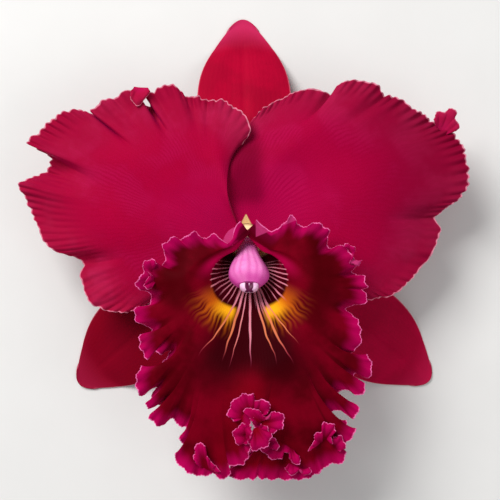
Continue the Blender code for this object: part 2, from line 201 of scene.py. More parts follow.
def new_effect(name, inputs, outputs):
    """An empty node group for an effect that several materials share."""
    effect = bpy.data.node_groups.new(name, "ShaderNodeTree")
    for label, value in inputs.items():
        kind = "NodeSocketColor" if isinstance(value, tuple) else "NodeSocketFloat"
        effect.interface.new_socket(label, in_out="INPUT", socket_type=kind).default_value = value
    for label in outputs:
        effect.interface.new_socket(label, in_out="OUTPUT", socket_type="NodeSocketFloat")
    given = effect.nodes.new("NodeGroupInput")
    result = effect.nodes.new("NodeGroupOutput")
    return effect, given.outputs, result.inputs


def place_effect(tree, effect, inputs):
    """Puts an effect into a material and gives its outputs."""
    made = tree.nodes.new("ShaderNodeGroup")
    made.node_tree = effect
    for name, value in inputs.items():
        if isinstance(value, bpy.types.NodeSocket):
            tree.links.new(value, made.inputs[name])
        else:
            made.inputs[name].default_value = value
    return made.outputs


def new_finish(name, roughness, specular, sheen=0.0, sheen_tint=(1, 1, 1, 1), coat=0.0):
    """A material with its shader. What is the same all over is set on the shader itself."""
    material = bpy.data.materials.new(name)
    material.use_nodes = True
    tree = material.node_tree
    shader = tree.nodes["Principled BSDF"]
    shader.inputs["Roughness"].default_value = roughness
    shader.inputs["Specular IOR Level"].default_value = specular
    shader.inputs["Metallic"].default_value = 0.0
    shader.inputs["Sheen Weight"].default_value = sheen
    shader.inputs["Sheen Tint"].default_value = sheen_tint
    shader.inputs["Coat Weight"].default_value = coat
    return material, tree, shader


def dress(tree, shader, colour, height, depth, strength=0.5):
    """Gives the shader its colour, and roughens it by a height that is depth deep."""
    tree.links.new(colour, shader.inputs["Base Color"])
    bump = add(tree, "Bump", {"Height": height, "Distance": depth, "Strength": strength})
    tree.links.new(bump.outputs[0], shader.inputs["Normal"])


# Plant skin: clouds of two sizes, both in mm, that mottle the colour and roughen the surface.
plant_skin, given, result = new_effect(
    "plant skin", {"Cell size": 0.3, "Patch size": 6.0}, ("Mottle", "Relief"))
patches = clouds(plant_skin, reckon(plant_skin, "DIVIDE", 1 / MM, given["Patch size"]), 3.0, 0.55)
cells = clouds(plant_skin, reckon(plant_skin, "DIVIDE", 1 / MM, given["Cell size"]), 1.0)
plant_skin.links.new(fade(plant_skin, patches, 0.3, 0.7), result["Mottle"])
plant_skin.links.new(cells, result["Relief"])


def stem_finish():
    material, tree, shader = new_finish("stem wax", 0.42, 0.4, coat=0.15)
    skin = place_effect(tree, plant_skin, {"Cell size": 0.5, "Patch size": 5.0})
    down = read(tree, "down_stem")
    colour = paint(tree, skin["Mottle"], STEM_GREEN, STEM_PALE)
    colour = paint(tree, fade(tree, down, 0.45, 0.0, 0.0, 0.7), colour, STEM_BLUSH)
    colour = paint(tree, fade(tree, down, 0.02, 0.0), colour, STEM_CREAM)
    colour = paint(tree, fade(tree, read(tree, "cut_face"), 0.3, 0.7), colour, STEM_CUT)
    dress(tree, shader, colour, skin["Relief"], 0.1 * MM, 0.6)
    return material


def build_stem():
    line = np.array([spot for spot, _ in STEM_LINE], float) * MM
    radii = np.array([radius for _, radius in STEM_LINE]) * MM
    spread = np.linspace(0.0, 1.0, STEM_STEPS)
    centres, sizes = along(line, spread), along(radii, spread)
    angles = np.linspace(0, 2 * math.pi, STEM_SIDES, endpoint=False)
    rings = []
    for share, depth in RECEPTACLE_RINGS:
        radius = share * RECEPTACLE_RADIUS
        height = np.full(STEM_SIDES, RECEPTACLE_TOP - depth * MM)
        rings.append(np.stack([radius * np.cos(angles), radius * np.sin(angles), height], -1))
    for i, (centre, size) in enumerate(zip(centres, sizes)):
        ahead = centres[min(i + 1, STEM_STEPS - 1)] - centres[max(i - 1, 0)]
        ahead /= np.linalg.norm(ahead)
        up = np.cross(SIDEWAYS, ahead)
        deep = ease(0.02, 0.12, spread[i]) * ease(0.62, 0.4, spread[i])
        turn = np.mod(angles * STEM_GROOVES / math.pi + 1, 2) - 1
        around = size * (1 - GROOVE_DEPTH * deep * np.exp(-(turn / GROOVE_WIDTH) ** 2))
        rings.append(centre + np.outer(around * np.cos(angles), SIDEWAYS)
                     + np.outer(around * np.sin(angles), up))
    for share, inwards in CUT_RINGS:
        rings.append(centres[-1] + np.outer(sizes[-1] * share * np.cos(angles), SIDEWAYS)
                     + np.outer(sizes[-1] * share * np.sin(angles), up) + ahead * inwards * MM)
    points, faces = round_body(rings)
    down = [0.0] * len(RECEPTACLE_RINGS) + list(spread) + [1.0] * len(CUT_RINGS)
    cut = [0.0] * (len(rings) - len(CUT_RINGS)) + [1.0] * len(CUT_RINGS)
    marks = {"down_stem": np.repeat(down, STEM_SIDES), "cut_face": np.repeat(cut, STEM_SIDES)}
    make_piece("stem_and_ovary", points, faces, marks, stem_finish(), "ovary_stalk")


build_stem()

# Sepals
# Three long fleshy outer parts, grown from the back of the receptacle: the dorsal one at the
# top, and two lateral ones that show below the petals. Smooth wax-like skin, dull crimson,
# paler at the tip and along the edge.

UPWARDS = np.array([0.0, 0.0, 1.0])
# The claws of sepals and petals end just clear of the receptacle.
CLAW_RADIUS = RECEPTACLE_RADIUS + 0.3 * MM
SEPAL_CLAW_ANGLE = 80.0
# Direction in degrees, length, half the width, and 1 for a lateral sepal
SEPALS = {
    "dorsal_sepal": (91.2, 87.45 * MM, 18.0 * MM, 0.0),
    "lateral_sepal_left": (220.5, 87.5 * MM, 17.5 * MM, 1.0),
    "lateral_sepal_right": (322.5, 91.0 * MM, 17.5 * MM, 1.0),
}
# Half the width after the claw, as shares of its widest, and the height in mm, from claw to tip
SEPAL_WIDTH_KNOTS = (0.0, 0.12, 0.3, 0.5, 0.66, 0.8, 0.9, 1.0)
SEPAL_WIDTHS = (0.38, 0.66, 0.93, 1.0, 0.87, 0.63, 0.3)
SEPAL_HEIGHT_KNOTS = (0.0, 0.15, 0.4, 0.65, 0.8, 0.9, 0.96, 1.0)
SEPAL_HEIGHTS = (23.4, 22.4, 18.0, 10.2, 4.0, 0.3, 0.2, 1.0)
# The two edges bend up, the middle vein and the margins dip, and the blade waves a little.
SEPAL_HOLLOW = 1.6 * MM
SEPAL_MIDRIB = 0.5 * MM
SEPAL_ROLLED_EDGE = 0.9 * MM
SEPAL_WAVE = 0.35 * MM
# Thickness at the claw and at the margin
SEPAL_THICKNESS = (1.0 * MM, 0.5 * MM)
SEPAL_ROWS = [(t, 40) for t in np.linspace(0.0, 1.0, 91)]
# How pale the tip is on the dorsal sepal and on a lateral one
SEPAL_TIP_SHARE = (0.8, 0.2)
# The left lateral sepal's crimson is darker than the other two, as painted shade.
SEPAL_CRIMSON = {
    "dorsal_sepal": (0.4, 0.001, 0.025, 1),
    "lateral_sepal_left": (0.21, 0.0006, 0.01, 1),
    "lateral_sepal_right": (0.4, 0.001, 0.034, 1),
}
SEPAL_SHADED = (0.2, 0.001, 0.014, 1)
SEPAL_TIP = (0.62, 0.03, 0.13, 1)
SEPAL_EDGE = (0.75, 0.16, 0.25, 1)
SEPAL_BACK = (0.4, 0.03, 0.07, 1)
SEPAL_SHEEN = (0.9, 0.02, 0.15, 1)


def thick_sheet(surface, rows, thickness):
    """A closed sheet body with its marks. rows lists (t, steps along the margin), with as many
    steps as the row before or twice as many. Its thickness tapers from the claw to the margin,
    and its face looks up. to_rim is in mm, and face_side is 1 on the face and 0 on the back."""
    lines, points, across, outward, rim = [], [], [], [], []
    for t, steps in rows:
        q = np.linspace(0.0, 1.0, steps + 1)
        row = surface(q, t)
        lines.append(list(range(len(points), len(points) + len(q))))
        points.extend(row)
        across.extend(q)
        outward.extend([t] * len(q))
        rim.extend(np.linalg.norm(surface(q, 1.0) - row, axis=1) / MM)
    faces = []
    for inner, outer in zip(lines, lines[1:]):
        if len(inner) == len(outer):
            for i in range(len(inner) - 1):
                faces.append((inner[i], inner[i + 1], outer[i + 1], outer[i]))
        else:
            for i in range(len(inner) - 1):
                left, middle, right = outer[2 * i:2 * i + 3]
                faces.append((inner[i], middle, left))
                faces.append((inner[i], inner[i + 1], middle))
                faces.append((inner[i + 1], right, middle))
    points = np.array(points)
    sheet = bmesh.new()
    corners = [sheet.verts.new(p) for p in points]
    for face in faces:
        sheet.faces.new([corners[i] for i in face])
    sheet.normal_update()
    normals = np.array([corner.normal for corner in corners])
    sheet.free()
    if (normals[len(points) // 2:] @ UPWARDS).sum() < 0:
        normals = -normals
        faces = [face[::-1] for face in faces]
    half = (thickness[0] + (thickness[1] - thickness[0]) * np.array(outward) ** 2)[:, None] / 2
    count = len(points)
    edges = set()
    for face in faces:
        for a, b in zip(face, face[1:] + face[:1]):
            if (b, a) in edges:
                edges.discard((b, a))
            else:
                edges.add((a, b))
    closed = faces + [tuple(count + i for i in face[::-1]) for face in faces]
    closed += [(b, a, count + a, count + b) for a, b in edges]
    marks = {
        "across": np.tile(across, 2),
        "outward": np.tile(outward, 2),
        "to_rim": np.tile(rim, 2),
        "face_side": np.repeat([1.0, 0.0], count),
    }
    return np.concatenate([points + normals * half, points - normals * half]), closed, marks


def times(tree, *values):
    """The product of two or more values."""
    product = values[0]
    for value in values[1:]:
        product = reckon(tree, "MULTIPLY", product, value)
    return product


def off_line(tree, ray):
    """How far a value is from the nearest line, where a line runs at each whole number."""
    return reckon(tree, "PINGPONG", ray, 0.5)


# Fan of veins: lines that run out from the claw and fork twice on their way to the margin.
fan_of_veins, given, result = new_effect(
    "fan of veins", {"Across": 0.0, "Outward": 0.0, "Count": 30.0, "Width": 0.2, "Wander": 1.0},
    ("Vein",),
)
wander = reckon(fan_of_veins, "SUBTRACT", clouds(fan_of_veins, 110.0, 2.0), 0.5)
ray = reckon(fan_of_veins, "ADD", times(fan_of_veins, given["Across"], given["Count"]),
             times(fan_of_veins, wander, given["Wander"]))
vein = fade(fan_of_veins, off_line(fan_of_veins, ray), 0.0, given["Width"], 1.0, 0.0)
late = fade(fan_of_veins, given["Outward"], 0.4, 0.6, 0.0, 0.8)
for turns, start, end, strength in ((1.0, 0.15, 0.5, 1.0), (2.0, 0.5, 0.85, late)):
    spread = fade(fan_of_veins, given["Outward"], start, end, 0.0, 0.5)
    for side in (1.0, -1.0):
        branch = reckon(fan_of_veins, "ADD", times(fan_of_veins, ray, turns),
                        times(fan_of_veins, spread, side))
        line = fade(fan_of_veins, off_line(fan_of_veins, branch), 0.0, given["Width"], 1.0, 0.0)
        vein = reckon(fan_of_veins, "MAXIMUM", vein, times(fan_of_veins, line, strength))
fan_of_veins.links.new(vein, result["Vein"])

# Pale rim: a thin line along the very edge of a sheet, a little broken. Its inputs are in mm.
pale_rim, given, result = new_effect("pale rim", {"To rim": 5.0, "Width": 0.5}, ("Rim",))
breaks = fade(pale_rim, clouds(pale_rim, 320.0, 2.0), 0.3, 0.7, 0.55, 1.3)
reach = times(pale_rim, given["Width"], breaks)
ratio = reckon(pale_rim, "DIVIDE", given["To rim"], reach)
pale_rim.links.new(fade(pale_rim, ratio, 0.5, 1.0, 1.0, 0.0), result["Rim"])


def sepal_surface(direction, length, half_width, lateral):
    """A sepal's middle surface: q runs across it and t from the claw to the tip."""
    turn = math.radians(direction)
    heading = (math.cos(turn), math.sin(turn))
    claw_half_width = CLAW_RADIUS * math.sin(math.radians(SEPAL_CLAW_ANGLE / 2))

    def point(q, t):
        side = 2.0 * q - 1.0
        width = through(SEPAL_WIDTH_KNOTS, (claw_half_width / half_width, *SEPAL_WIDTHS), t)
        base = np.sqrt(CLAW_RADIUS**2 - (claw_half_width * side) ** 2)
        reach = length - 0.2 * half_width * side**2
        u = base + (reach - base) * t
        v = side * width * half_width
        z = through(SEPAL_HEIGHT_KNOTS, np.array(SEPAL_HEIGHTS) * MM, t)
        swell = math.sin(math.pi * t)
        z = z + SEPAL_HOLLOW * swell * (side**2 - 0.4)
        z = z - SEPAL_MIDRIB * swell * np.exp(-((side / 0.07) ** 2))
        z = z - SEPAL_ROLLED_EDGE * swell * side**8
        z = z + SEPAL_WAVE * swell * np.sin(5 * t + 6 * side + 2 * lateral)
        z = np.maximum(z, SEPAL_THICKNESS[0] / 2)
        return np.stack([heading[0] * u - heading[1] * v, heading[1] * u + heading[0] * v, z], -1)

    return point


def sepal_finish(name, tip_share):
    material, tree, shader = new_finish(
        name.replace("_", " ") + " wax", 0.5, 0.02, sheen=0.12, sheen_tint=SEPAL_SHEEN)
    skin = place_effect(tree, plant_skin, {"Cell size": 0.35, "Patch size": 14.0})
    across, outward = read(tree, "across"), read(tree, "outward")
    veins = place_effect(tree, fan_of_veins, {
        "Across": across, "Outward": 0.0, "Count": 19.0, "Width": 0.45, "Wander": 1.6,
    })["Vein"]
    mottled = fade(tree, skin["Mottle"], 0.0, 1.0, 0.65, 1.0)
    colour = paint(tree, mottled, SEPAL_SHADED, SEPAL_CRIMSON[name])
    colour = paint(tree, times(tree, veins, 0.06), colour, SEPAL_SHADED)
    colour = paint(tree, fade(tree, outward, 0.84, 1.0, 0.0, tip_share), colour, SEPAL_TIP)
    side = reckon(tree, "ABSOLUTE", reckon(tree, "SUBTRACT", across, 0.5))
    colour = paint(tree, fade(tree, side, 0.485, 0.5, 0.0, 0.6), colour, SEPAL_EDGE)
    colour = paint(tree, read(tree, "face_side"), SEPAL_BACK, colour)
    relief = reckon(tree, "ADD", skin["Relief"], times(tree, veins, -0.5))
    dress(tree, shader, colour, relief, 0.08 * MM)
    return material


for name, (direction, length, half_width, lateral) in SEPALS.items():
    points, faces, marks = thick_sheet(
        sepal_surface(direction, length, half_width, lateral), SEPAL_ROWS, SEPAL_THICKNESS)
    make_piece(name + "_skin", points, faces, marks,
               sepal_finish(name, SEPAL_TIP_SHARE[int(lateral)]), name)

# Petals
# Two broad thin blades, grown from the sides of the receptacle and overlapping above the lip.
# Velvety on the face, with fine veins that fan out from the claw. The margin is gathered into
# soft lobes with a hair-thin pale edge.

PETAL_THICKNESS = (0.9 * MM, 0.35 * MM)
PETAL_HEIGHTS = {"petal_left": 27.7 * MM, "petal_right": 25.7 * MM}
# The two ends of the claw, in degrees round the receptacle
PETAL_CLAWS = {"petal_left": (122.0, 186.0), "petal_right": (128.0, -6.0)}
PETAL_ARCH = 3.4 * MM
PETAL_DROOP = 2.5 * MM
PETAL_OUTER_RISE = {"petal_left": 0.0, "petal_right": 1.4 * MM}
# The left blade's inner edge lies over the right one's: where along each margin the lift ends
# and where it is full, and how high it is
PETAL_INNER_SPAN = {"petal_left": (0.16, 0.0), "petal_right": (0.34, 0.1)}
PETAL_INNER_LIFT = {"petal_left": 1.1 * MM, "petal_right": -2.2 * MM}
# How far along their waves the two margins start
PETAL_DRIFT = {"petal_left": 0.5, "petal_right": 2.0}
# The margin as directions in degrees and distances in mm from the axis, lobe by lobe
PETAL_OUTLINES = {
    "petal_left": [
        (93, 36), (88.5, 40), (90, 45.5), (95.2, 49.6), (100.2, 53.2), (106.6, 55), (108.5, 57),
        (112, 58), (115.5, 64), (119, 66), (122.6, 65.8), (124.9, 67.4), (125.9, 62.8),
        (126.7, 63.2), (127.3, 70.2),
        (129.6, 72.2), (133, 72.8), (136, 75.4), (139, 75.5), (140.2, 76.6), (140.8, 72.6),
        (141.4, 77.6), (142.6, 80.4), (146, 84.4),
        (149.2, 86.2), (152.7, 88), (156, 89.3), (156.6, 83.9), (157.4, 80.6), (160, 79.9),
        (162.1, 81.4), (164.1, 84.5), (166.2, 87.5), (168.8, 84.8), (172, 82.1), (175.6, 79.2),
        (179.4, 76.7), (182.3, 73.8), (184, 70.2), (186.1, 64.6), (188.8, 62.4), (191.7, 64.2),
        (195.5, 63.9), (201.5, 63.2), (206.2, 59.3), (210.2, 54), (213, 43),
    ],
    "petal_right": [
        (105, 36), (96, 39), (90, 41.5), (86, 47), (80.5, 52), (75, 56), (70.8, 59.6),
        (67, 62), (62.6, 63.2), (59, 64), (59.6, 66.6), (58, 70.4), (54, 73.6), (50, 76),
        (46.6, 75.2), (43.4, 78), (39.5, 79.4), (35, 81.6), (31, 84), (28.4, 86.2), (25.8, 87.6),
        (22.4, 88.0), (18.4, 87.0), (14.4, 85.6), (10.7, 80.3), (8.4, 74.2), (6.6, 71.6),
        (3.6, 72.9), (-1.2, 71), (-4.6, 69.4), (-8, 67), (-12, 64.2), (-15.7, 62), (-20, 59),
        (-24, 53.7), (-28, 48), (-32, 38),
    ],
}
# Curls of the petals' margins, folded over towards the viewer: neck, free margin, both as X and
# Y in mm, and the heights of neck and margin in mm
PETAL_CURLS = {
    "petal_right": (
        [(71.0, 42.4), (75.0, 39.6)],
        [(69.6, 45.0), (71.6, 48.2), (74.0, 47.6), (75.8, 49.4), (78.2, 47.6), (77.8, 45.0),
         (79.4, 43.0), (78.2, 40.8)], 25.6, 28.4),
    "petal_left": (
        [(-42.4, 57.0), (-37.0, 56.6)],
        [(-43.4, 55.0), (-43.0, 52.0), (-41.0, 50.0), (-39.0, 51.2), (-37.4, 53.4),
         (-36.0, 55.4)], 26.6, 29.4),
}
# The right petal's crimson is a little darker than the left one's, as painted shade.
PETAL_CRIMSON = {"petal_left": (0.34, 0.0004, 0.025, 1), "petal_right": (0.32, 0.0004, 0.028, 1)}
PETAL_DEEP = (0.12, 0.0002, 0.012, 1)
PETAL_ROSE = (0.45, 0.002, 0.07, 1)
PETAL_STREAK = (0.52, 0.006, 0.09, 1)
PETAL_PAINTED_SHEEN = (0.5, 0.035, 0.1, 1)
PETAL_BACK = (0.42, 0.02, 0.075, 1)
PETAL_RIM = (0.85, 0.3, 0.42, 1)
PETAL_CREAM = (0.75, 0.5, 0.22, 1)
PETAL_SHEEN = (0.85, 0.0, 0.22, 1)
# The cream spot's point, how its half width grows below it, and where it fades in
CREAM_POINT = (-0.4 * MM, 9.9 * MM)
CREAM_SPREAD = 0.52
CREAM_LEAST = 0.01 * MM
CREAM_START = (9.8 * MM, 9.3 * MM)
PETAL_ROWS = [(t, 150) for t in np.linspace(0.0, 0.3, 10)]
PETAL_ROWS += [(t, 300) for t in np.linspace(0.34, 0.68, 12)]
PETAL_ROWS += [(t, 600) for t in np.linspace(0.7, 1.0, 26)]


def smoothed(curve, spread):
    """The curve with its ripples ironed out over a spread of samples."""
    width = int(3 * spread)
    weights = np.exp(-0.5 * (np.arange(-width, width + 1) / spread) ** 2)
    weights /= weights.sum()
    padded = np.concatenate([
        2 * curve[0] - curve[width:0:-1], curve, 2 * curve[-1] - curve[-2:-width - 2:-1],
    ])
    return np.stack([np.convolve(column, weights, "valid") for column in padded.T], -1)


def chord_knots(points):
    """Knots from 0 to 1 by the distance from point to point, and the whole length."""
    steps = np.linalg.norm(np.diff(points, axis=0), axis=1)
    knots = np.concatenate([[0.0], np.cumsum(steps)])
    return knots / knots[-1], knots[-1]


class PetalMargin:
    """A petal's margin, its ironed-out run and how far each place stands out from that run."""

    samples = 1200

    def __init__(self, outline):
        angles = np.radians([angle for angle, _ in outline])
        radii = np.array([radius for _, radius in outline]) * MM
        corners = np.stack([radii * np.cos(angles), radii * np.sin(angles)], -1)
        knots, self.length = chord_knots(corners)
        self.q = np.linspace(0.0, 1.0, self.samples + 1)
        self.run = through(knots, corners, self.q)
        per_mm = self.samples * MM / self.length
        self.calm = smoothed(self.run, 9 * per_mm)
        ahead = np.gradient(self.calm, axis=0)
        ahead /= np.linalg.norm(ahead, axis=1, keepdims=True)
        self.outwards = np.stack([ahead[:, 1], -ahead[:, 0]], -1)
        if (self.outwards * self.calm).sum() < 0:
            self.outwards = -self.outwards
        self.bulge = ((self.run - self.calm) * self.outwards).sum(1)

    def at(self, values, q):
        if values.ndim == 1:
            return np.interp(q, self.q, values)
        return np.stack([np.interp(q, self.q, column) for column in values.T], -1)


def petal_surface(name):
    """A petal's middle surface: q runs along its margin and t from the claw to the margin."""
    margin = PetalMargin(PETAL_OUTLINES[name])
    first, last = PETAL_CLAWS[name]
    right = name == "petal_right"
    drift = PETAL_DRIFT[name]

    def point(q, t):
        calm, run = margin.at(margin.calm, q), margin.at(margin.run, q)
        bulge = margin.at(margin.bulge, q)
        claw = first + (last - first) * q
        angle = np.degrees(np.unwrap(np.arctan2(calm[:, 1], calm[:, 0])))
        if not right:
            angle = np.where(angle < 0, angle + 360, angle)
        edge = np.linalg.norm(calm, axis=1)
        turn = (1 - t) ** (0.7 + 1.1 * ease(0.0, 0.25, q))
        angle = np.radians(angle + (claw - angle) * turn)
        radius = CLAW_RADIUS + (edge - CLAW_RADIUS) * t
        flat = np.stack([radius * np.cos(angle), radius * np.sin(angle)], -1)
        flat = flat + (run - calm) * ease(0.6, 1.0, t) ** 1.3
        z = PETAL_HEIGHTS[name] + PETAL_ARCH * math.sin(math.pi * min(t * 1.1, 1.0))
        z = z - PETAL_DROOP * ease(0.5, 1.0, t) + PETAL_OUTER_RISE[name] * ease(0.1, 0.5, t)
        z = z + ease(*PETAL_INNER_SPAN[name], q) * ease(0.0, 0.4, t) * PETAL_INNER_LIFT[name]
        # Lobes stand up and the bays between them sink, and the gathers run inwards from there.
        # Along the margin, length is in mm.
        length = margin.length / MM * q
        calmed = ease(0.0, 0.12, q) * ease(1.0, 0.9, q)
        gather = np.sin(length / 2.6 + 1.6 * np.sin(length / 11 + 2 * drift))
        crinkle = np.sin(length / 0.55 + 2.2 * np.sin(length / 6.1 + drift))
        scallop = np.sin(length / 0.5 + 1.7 * np.sin(length / 4.3 + drift))
        z = z + ease(0.62, 1.0, t) ** 1.8 * 1.1 * bulge
        z = z + ease(0.7, 1.0, t) ** 2 * 0.5 * MM * gather * calmed
        rough = (0.5 + 0.25 * np.sin(length / 17 + drift)) * MM * (0.25 + 0.75 * calmed)
        z = z + ease(0.84, 1.0, t) ** 1.8 * rough * crinkle
        uneven = 0.55 + 0.45 * np.sin(length / 5.7 + 1.9 * np.sin(length / 13 + drift))
        fine = np.sin(length / 0.4 + 2.0 * np.sin(length / 3.1 + drift))
        slow = np.cos(length / 1.1 + np.sin(length / 4))
        swing = rough * (0.7 * uneven * scallop + 0.4 * slow + 0.35 * (1.2 - uneven) * fine)
        flat = flat + margin.at(margin.outwards, q) * (ease(0.86, 1.0, t) ** 2 * swing)[:, None]
        if not right:
            # Close pleats run in from the side margin.
            pleated = ease(0.5, 0.6, q) * ease(0.97, 0.88, q)
            pleat = np.sin(2 * math.pi * length / 3.0 + 0.9 * np.sin(length / 7))
            z = z + ease(0.7, 0.97, t) ** 1.4 * 0.2 * MM * pleat * pleated
        # Broad undulations of the blade
        z = z + 0.55 * MM * np.sin(19.5 * q + drift) * ease(0.15, 0.6, t) * (1 - 0.5 * t)
        return np.concatenate([flat, np.reshape(z + 0 * q, (-1, 1))], -1)

    return point


def curl_surface(neck, margin, neck_height, height, number, crinkle=1.0):
    """A curl of a margin: t runs from its neck to its free, toothed edge. The number sets how
    its waves fall, and crinkle how deep they are."""
    neck = np.array([(*spot, neck_height) for spot in neck]) * MM
    edge = np.array([(*spot, height) for spot in margin]) * MM
    knots, total = chord_knots(edge)
    middle = edge.mean(axis=0)

    def point(q, t):
        foot = neck[0] + np.outer(q, neck[1] - neck[0])
        rim = through(knots, edge, q)
        out = rim - middle
        out[:, 2] = 0.0
        out /= np.linalg.norm(out, axis=1, keepdims=True) + 1e-9
        length = total / MM * q
        tooth = np.abs(np.sin(np.pi * length / 1.25 + number + 0.7 * np.sin(length / 2.1)))
        phase = length / 0.62 + number + 1.1 * np.sin(length / 2.7)
        stretch = crinkle * (0.34 * (tooth - 0.5) + 0.4 * np.sin(phase)) * MM * ease(0.55, 1.0, t)
        sheet = foot + (rim + out * stretch[:, None] - foot) * t
        rise = 1 - (1 - t) ** 2.2
        sheet[:, 2] = foot[:, 2] + (rim[:, 2] - foot[:, 2]) * rise
        wave = crinkle * t**1.5 * 0.6 * MM * np.sin(phase + 1.0)
        sheet[:, 2] += wave - 0.7 * MM * ease(0.75, 1.0, t)
        return sheet

    return point


CURL_ROWS = [(t, 48) for t in (0.0, 0.12, 0.25, 0.38, 0.5)]
CURL_ROWS += [(t, 96) for t in (0.6, 0.7, 0.78, 0.85)]
CURL_ROWS += [(t, 192) for t in (0.9, 0.94, 0.97, 1.0)]


def placed(tree):
    """Each point's X, Y and Z on the flower's axis."""
    return add(tree, "SeparateXYZ", {0: add(tree, "TexCoord").outputs["Object"]}).outputs


def petal_finish(name):
    material, tree, shader = new_finish(
        name.replace("_", " ") + " velvet", 0.55, 0.01, sheen=0.25, sheen_tint=PETAL_SHEEN)
    skin = place_effect(tree, plant_skin, {"Cell size": 0.3, "Patch size": 18.0})
    outward = read(tree, "outward")
    veins = place_effect(tree, fan_of_veins, {
        "Across": read(tree, "across"), "Outward": outward, "Count": 34.0, "Width": 0.4,
        "Wander": 1.6,
    })["Vein"]
    colour = paint(tree, times(tree, skin["Mottle"], 0.3), PETAL_CRIMSON[name], PETAL_DEEP)
    # Painted light: the blade is brighter rose towards the claw.
    colour = paint(tree, fade(tree, outward, 0.5, 0.12, 0.0, 0.6), colour, PETAL_ROSE)
    colour = paint(tree, fade(tree, skin["Relief"], 0.4, 0.7, 0.0, 0.22), colour, PETAL_ROSE)
    # Painted shade: the blade darkens towards the margin.
    colour = paint(tree, fade(tree, outward, 0.6, 1.0, 0.0, 0.2), colour, PETAL_DEEP)
    streaks = times(tree, veins, fade(tree, skin["Mottle"], 0.2, 0.9, 0.06, 0.3))
    colour = paint(tree, streaks, colour, PETAL_STREAK)
    # Painted sheen: pale pinkish highlights in patches towards the margin.
    painted_sheen = times(tree, fade(tree, outward, 0.6, 1.0, 0.0, 0.32),
                  fade(tree, skin["Mottle"], 0.0, 1.0, 0.25, 0.8))
    colour = paint(tree, painted_sheen, colour, PETAL_PAINTED_SHEEN)
    # Painted shade: darker where the blades overlap, beside the other blade's edge and towards
    # the right.
    colour = paint(tree, fade(tree, read(tree, "shaded"), 0.0, 1.0), colour, PETAL_DEEP)
    rim = place_effect(tree, pale_rim, {"To rim": read(tree, "to_rim"), "Width": 0.6})["Rim"]
    colour = paint(tree, times(tree, rim, 0.62), colour, PETAL_RIM)
    # A cream spot between the claws, just above the column, narrows to a point.
    place = placed(tree)
    narrow = times(tree, reckon(tree, "SUBTRACT", CREAM_POINT[1], place["Y"]), CREAM_SPREAD)
    narrow = reckon(tree, "MAXIMUM", narrow, CREAM_LEAST)
    aside = reckon(tree, "ABSOLUTE", reckon(tree, "SUBTRACT", place["X"], CREAM_POINT[0]))
    spot = fade(tree, reckon(tree, "DIVIDE", aside, narrow), 1.15, 0.8)
    spot = times(tree, spot, fade(tree, place["Y"], *CREAM_START))
    colour = paint(tree, spot, colour, PETAL_CREAM)
    colour = paint(tree, read(tree, "face_side"), PETAL_BACK, colour)
    relief = reckon(tree, "ADD", skin["Relief"], times(tree, veins, -0.4))
    dress(tree, shader, colour, relief, 0.1 * MM)
    return material


def shaded(name, points):
    """Painted shade: how far each point is darkened by the other blade's edge and towards the
    right.
    """
    x, y = points[:, 0] / MM, points[:, 1] / MM
    if name == "petal_left":
        return 0.4 * ease(14.0, 2.0, np.hypot(x + 1.0, (y - 34.0) / 1.4))
    beside = np.exp(-(((x + 0.6 + 0.05 * (y - 25.0)) / 7.5) ** 4))
    beside = beside * ease(46.0, 34.0, y) * ease(9.0, 17.0, y)
    return np.maximum(0.62 * beside, 0.5 * ease(25.0, 75.0, x + 0.2 * y))


for name in PETAL_OUTLINES:
    velvet = petal_finish(name)
    points, faces, marks = thick_sheet(petal_surface(name), PETAL_ROWS, PETAL_THICKNESS)
    marks["shaded"] = shaded(name, points)
    make_piece(name + "_velvet", points, faces, marks, velvet, name)
    points, faces, marks = thick_sheet(
        curl_surface(*PETAL_CURLS[name], number=3, crinkle=0.5), CURL_ROWS, PETAL_THICKNESS)
    marks["shaded"] = np.zeros(len(points))
    # A curl shows some of the petal's paler back.
    marks["face_side"] = np.full(len(points), 0.8)
    make_piece(name + "_curl", points, faces, marks, velvet)

# Lip
# The third petal, grown from the front of the receptacle and rolled into a tube round the
# column, maroon inside with pale stripes and two orange eyes. It opens into a velvety, deep
# crimson skirt with a frilled, toothed margin.

LIP_THICKNESS = (0.7 * MM, 0.3 * MM)
# Rings of the tube in mm: the middle's Y, half the width, the reach down and up, then the
# heights at the bottom, side and top, and how many degrees it spans to each side
LIP_RINGS = [
    (0.0, 6.8, 6.8, 6.8, 26.8, 27.2, 27.4, 70),
    (-0.9, 7.6, 7.4, 7.6, 27.6, 29.7, 30.6, 82),
    (-3.0, 9.0, 8.6, 9.2, 29.2, 32.0, 32.6, 136),
    (-7.5, 10.2, 9.5, 10.6, 33.5, 34.5, 34.5, 173),
    (-13.5, 13.6, 16.0, 10.4, 42.0, 43.5, 40.0, 186),
    (-16.5, 22.0, 30.0, 14.4, 48.5, 46.0, 43.3, 168),
]
# Where the rings lie on the way from the claw, 0, to the margin, 1
LIP_KNOTS = (0.0, 0.05, 0.11, 0.22, 0.42, 0.64)
# How far in mm the tube leans to the right, and how far one free edge rises over the other
LIP_SIDEWAYS = 0.8
LIP_OVERLAP = 1.2 * MM
# Where the tube's two free edges cross over the column, as (ring, share from which the ring is
# drawn towards the spot, X, Y and Z in mm). The left edge lies over the right one.
LIP_FREE_EDGES = {
    -1: [(3, 0.9, 2.0, 3.0, 36.6), (4, 0.84, 1.6, 2.4, 40.6), (5, 0.95, -0.1, 3.7, 42.9)],
    1: [(3, 0.9, -1.8, 3.0, 35.2), (4, 0.84, -1.4, 2.4, 39.0), (5, 0.95, 0.2, 3.5, 41.5)],
}
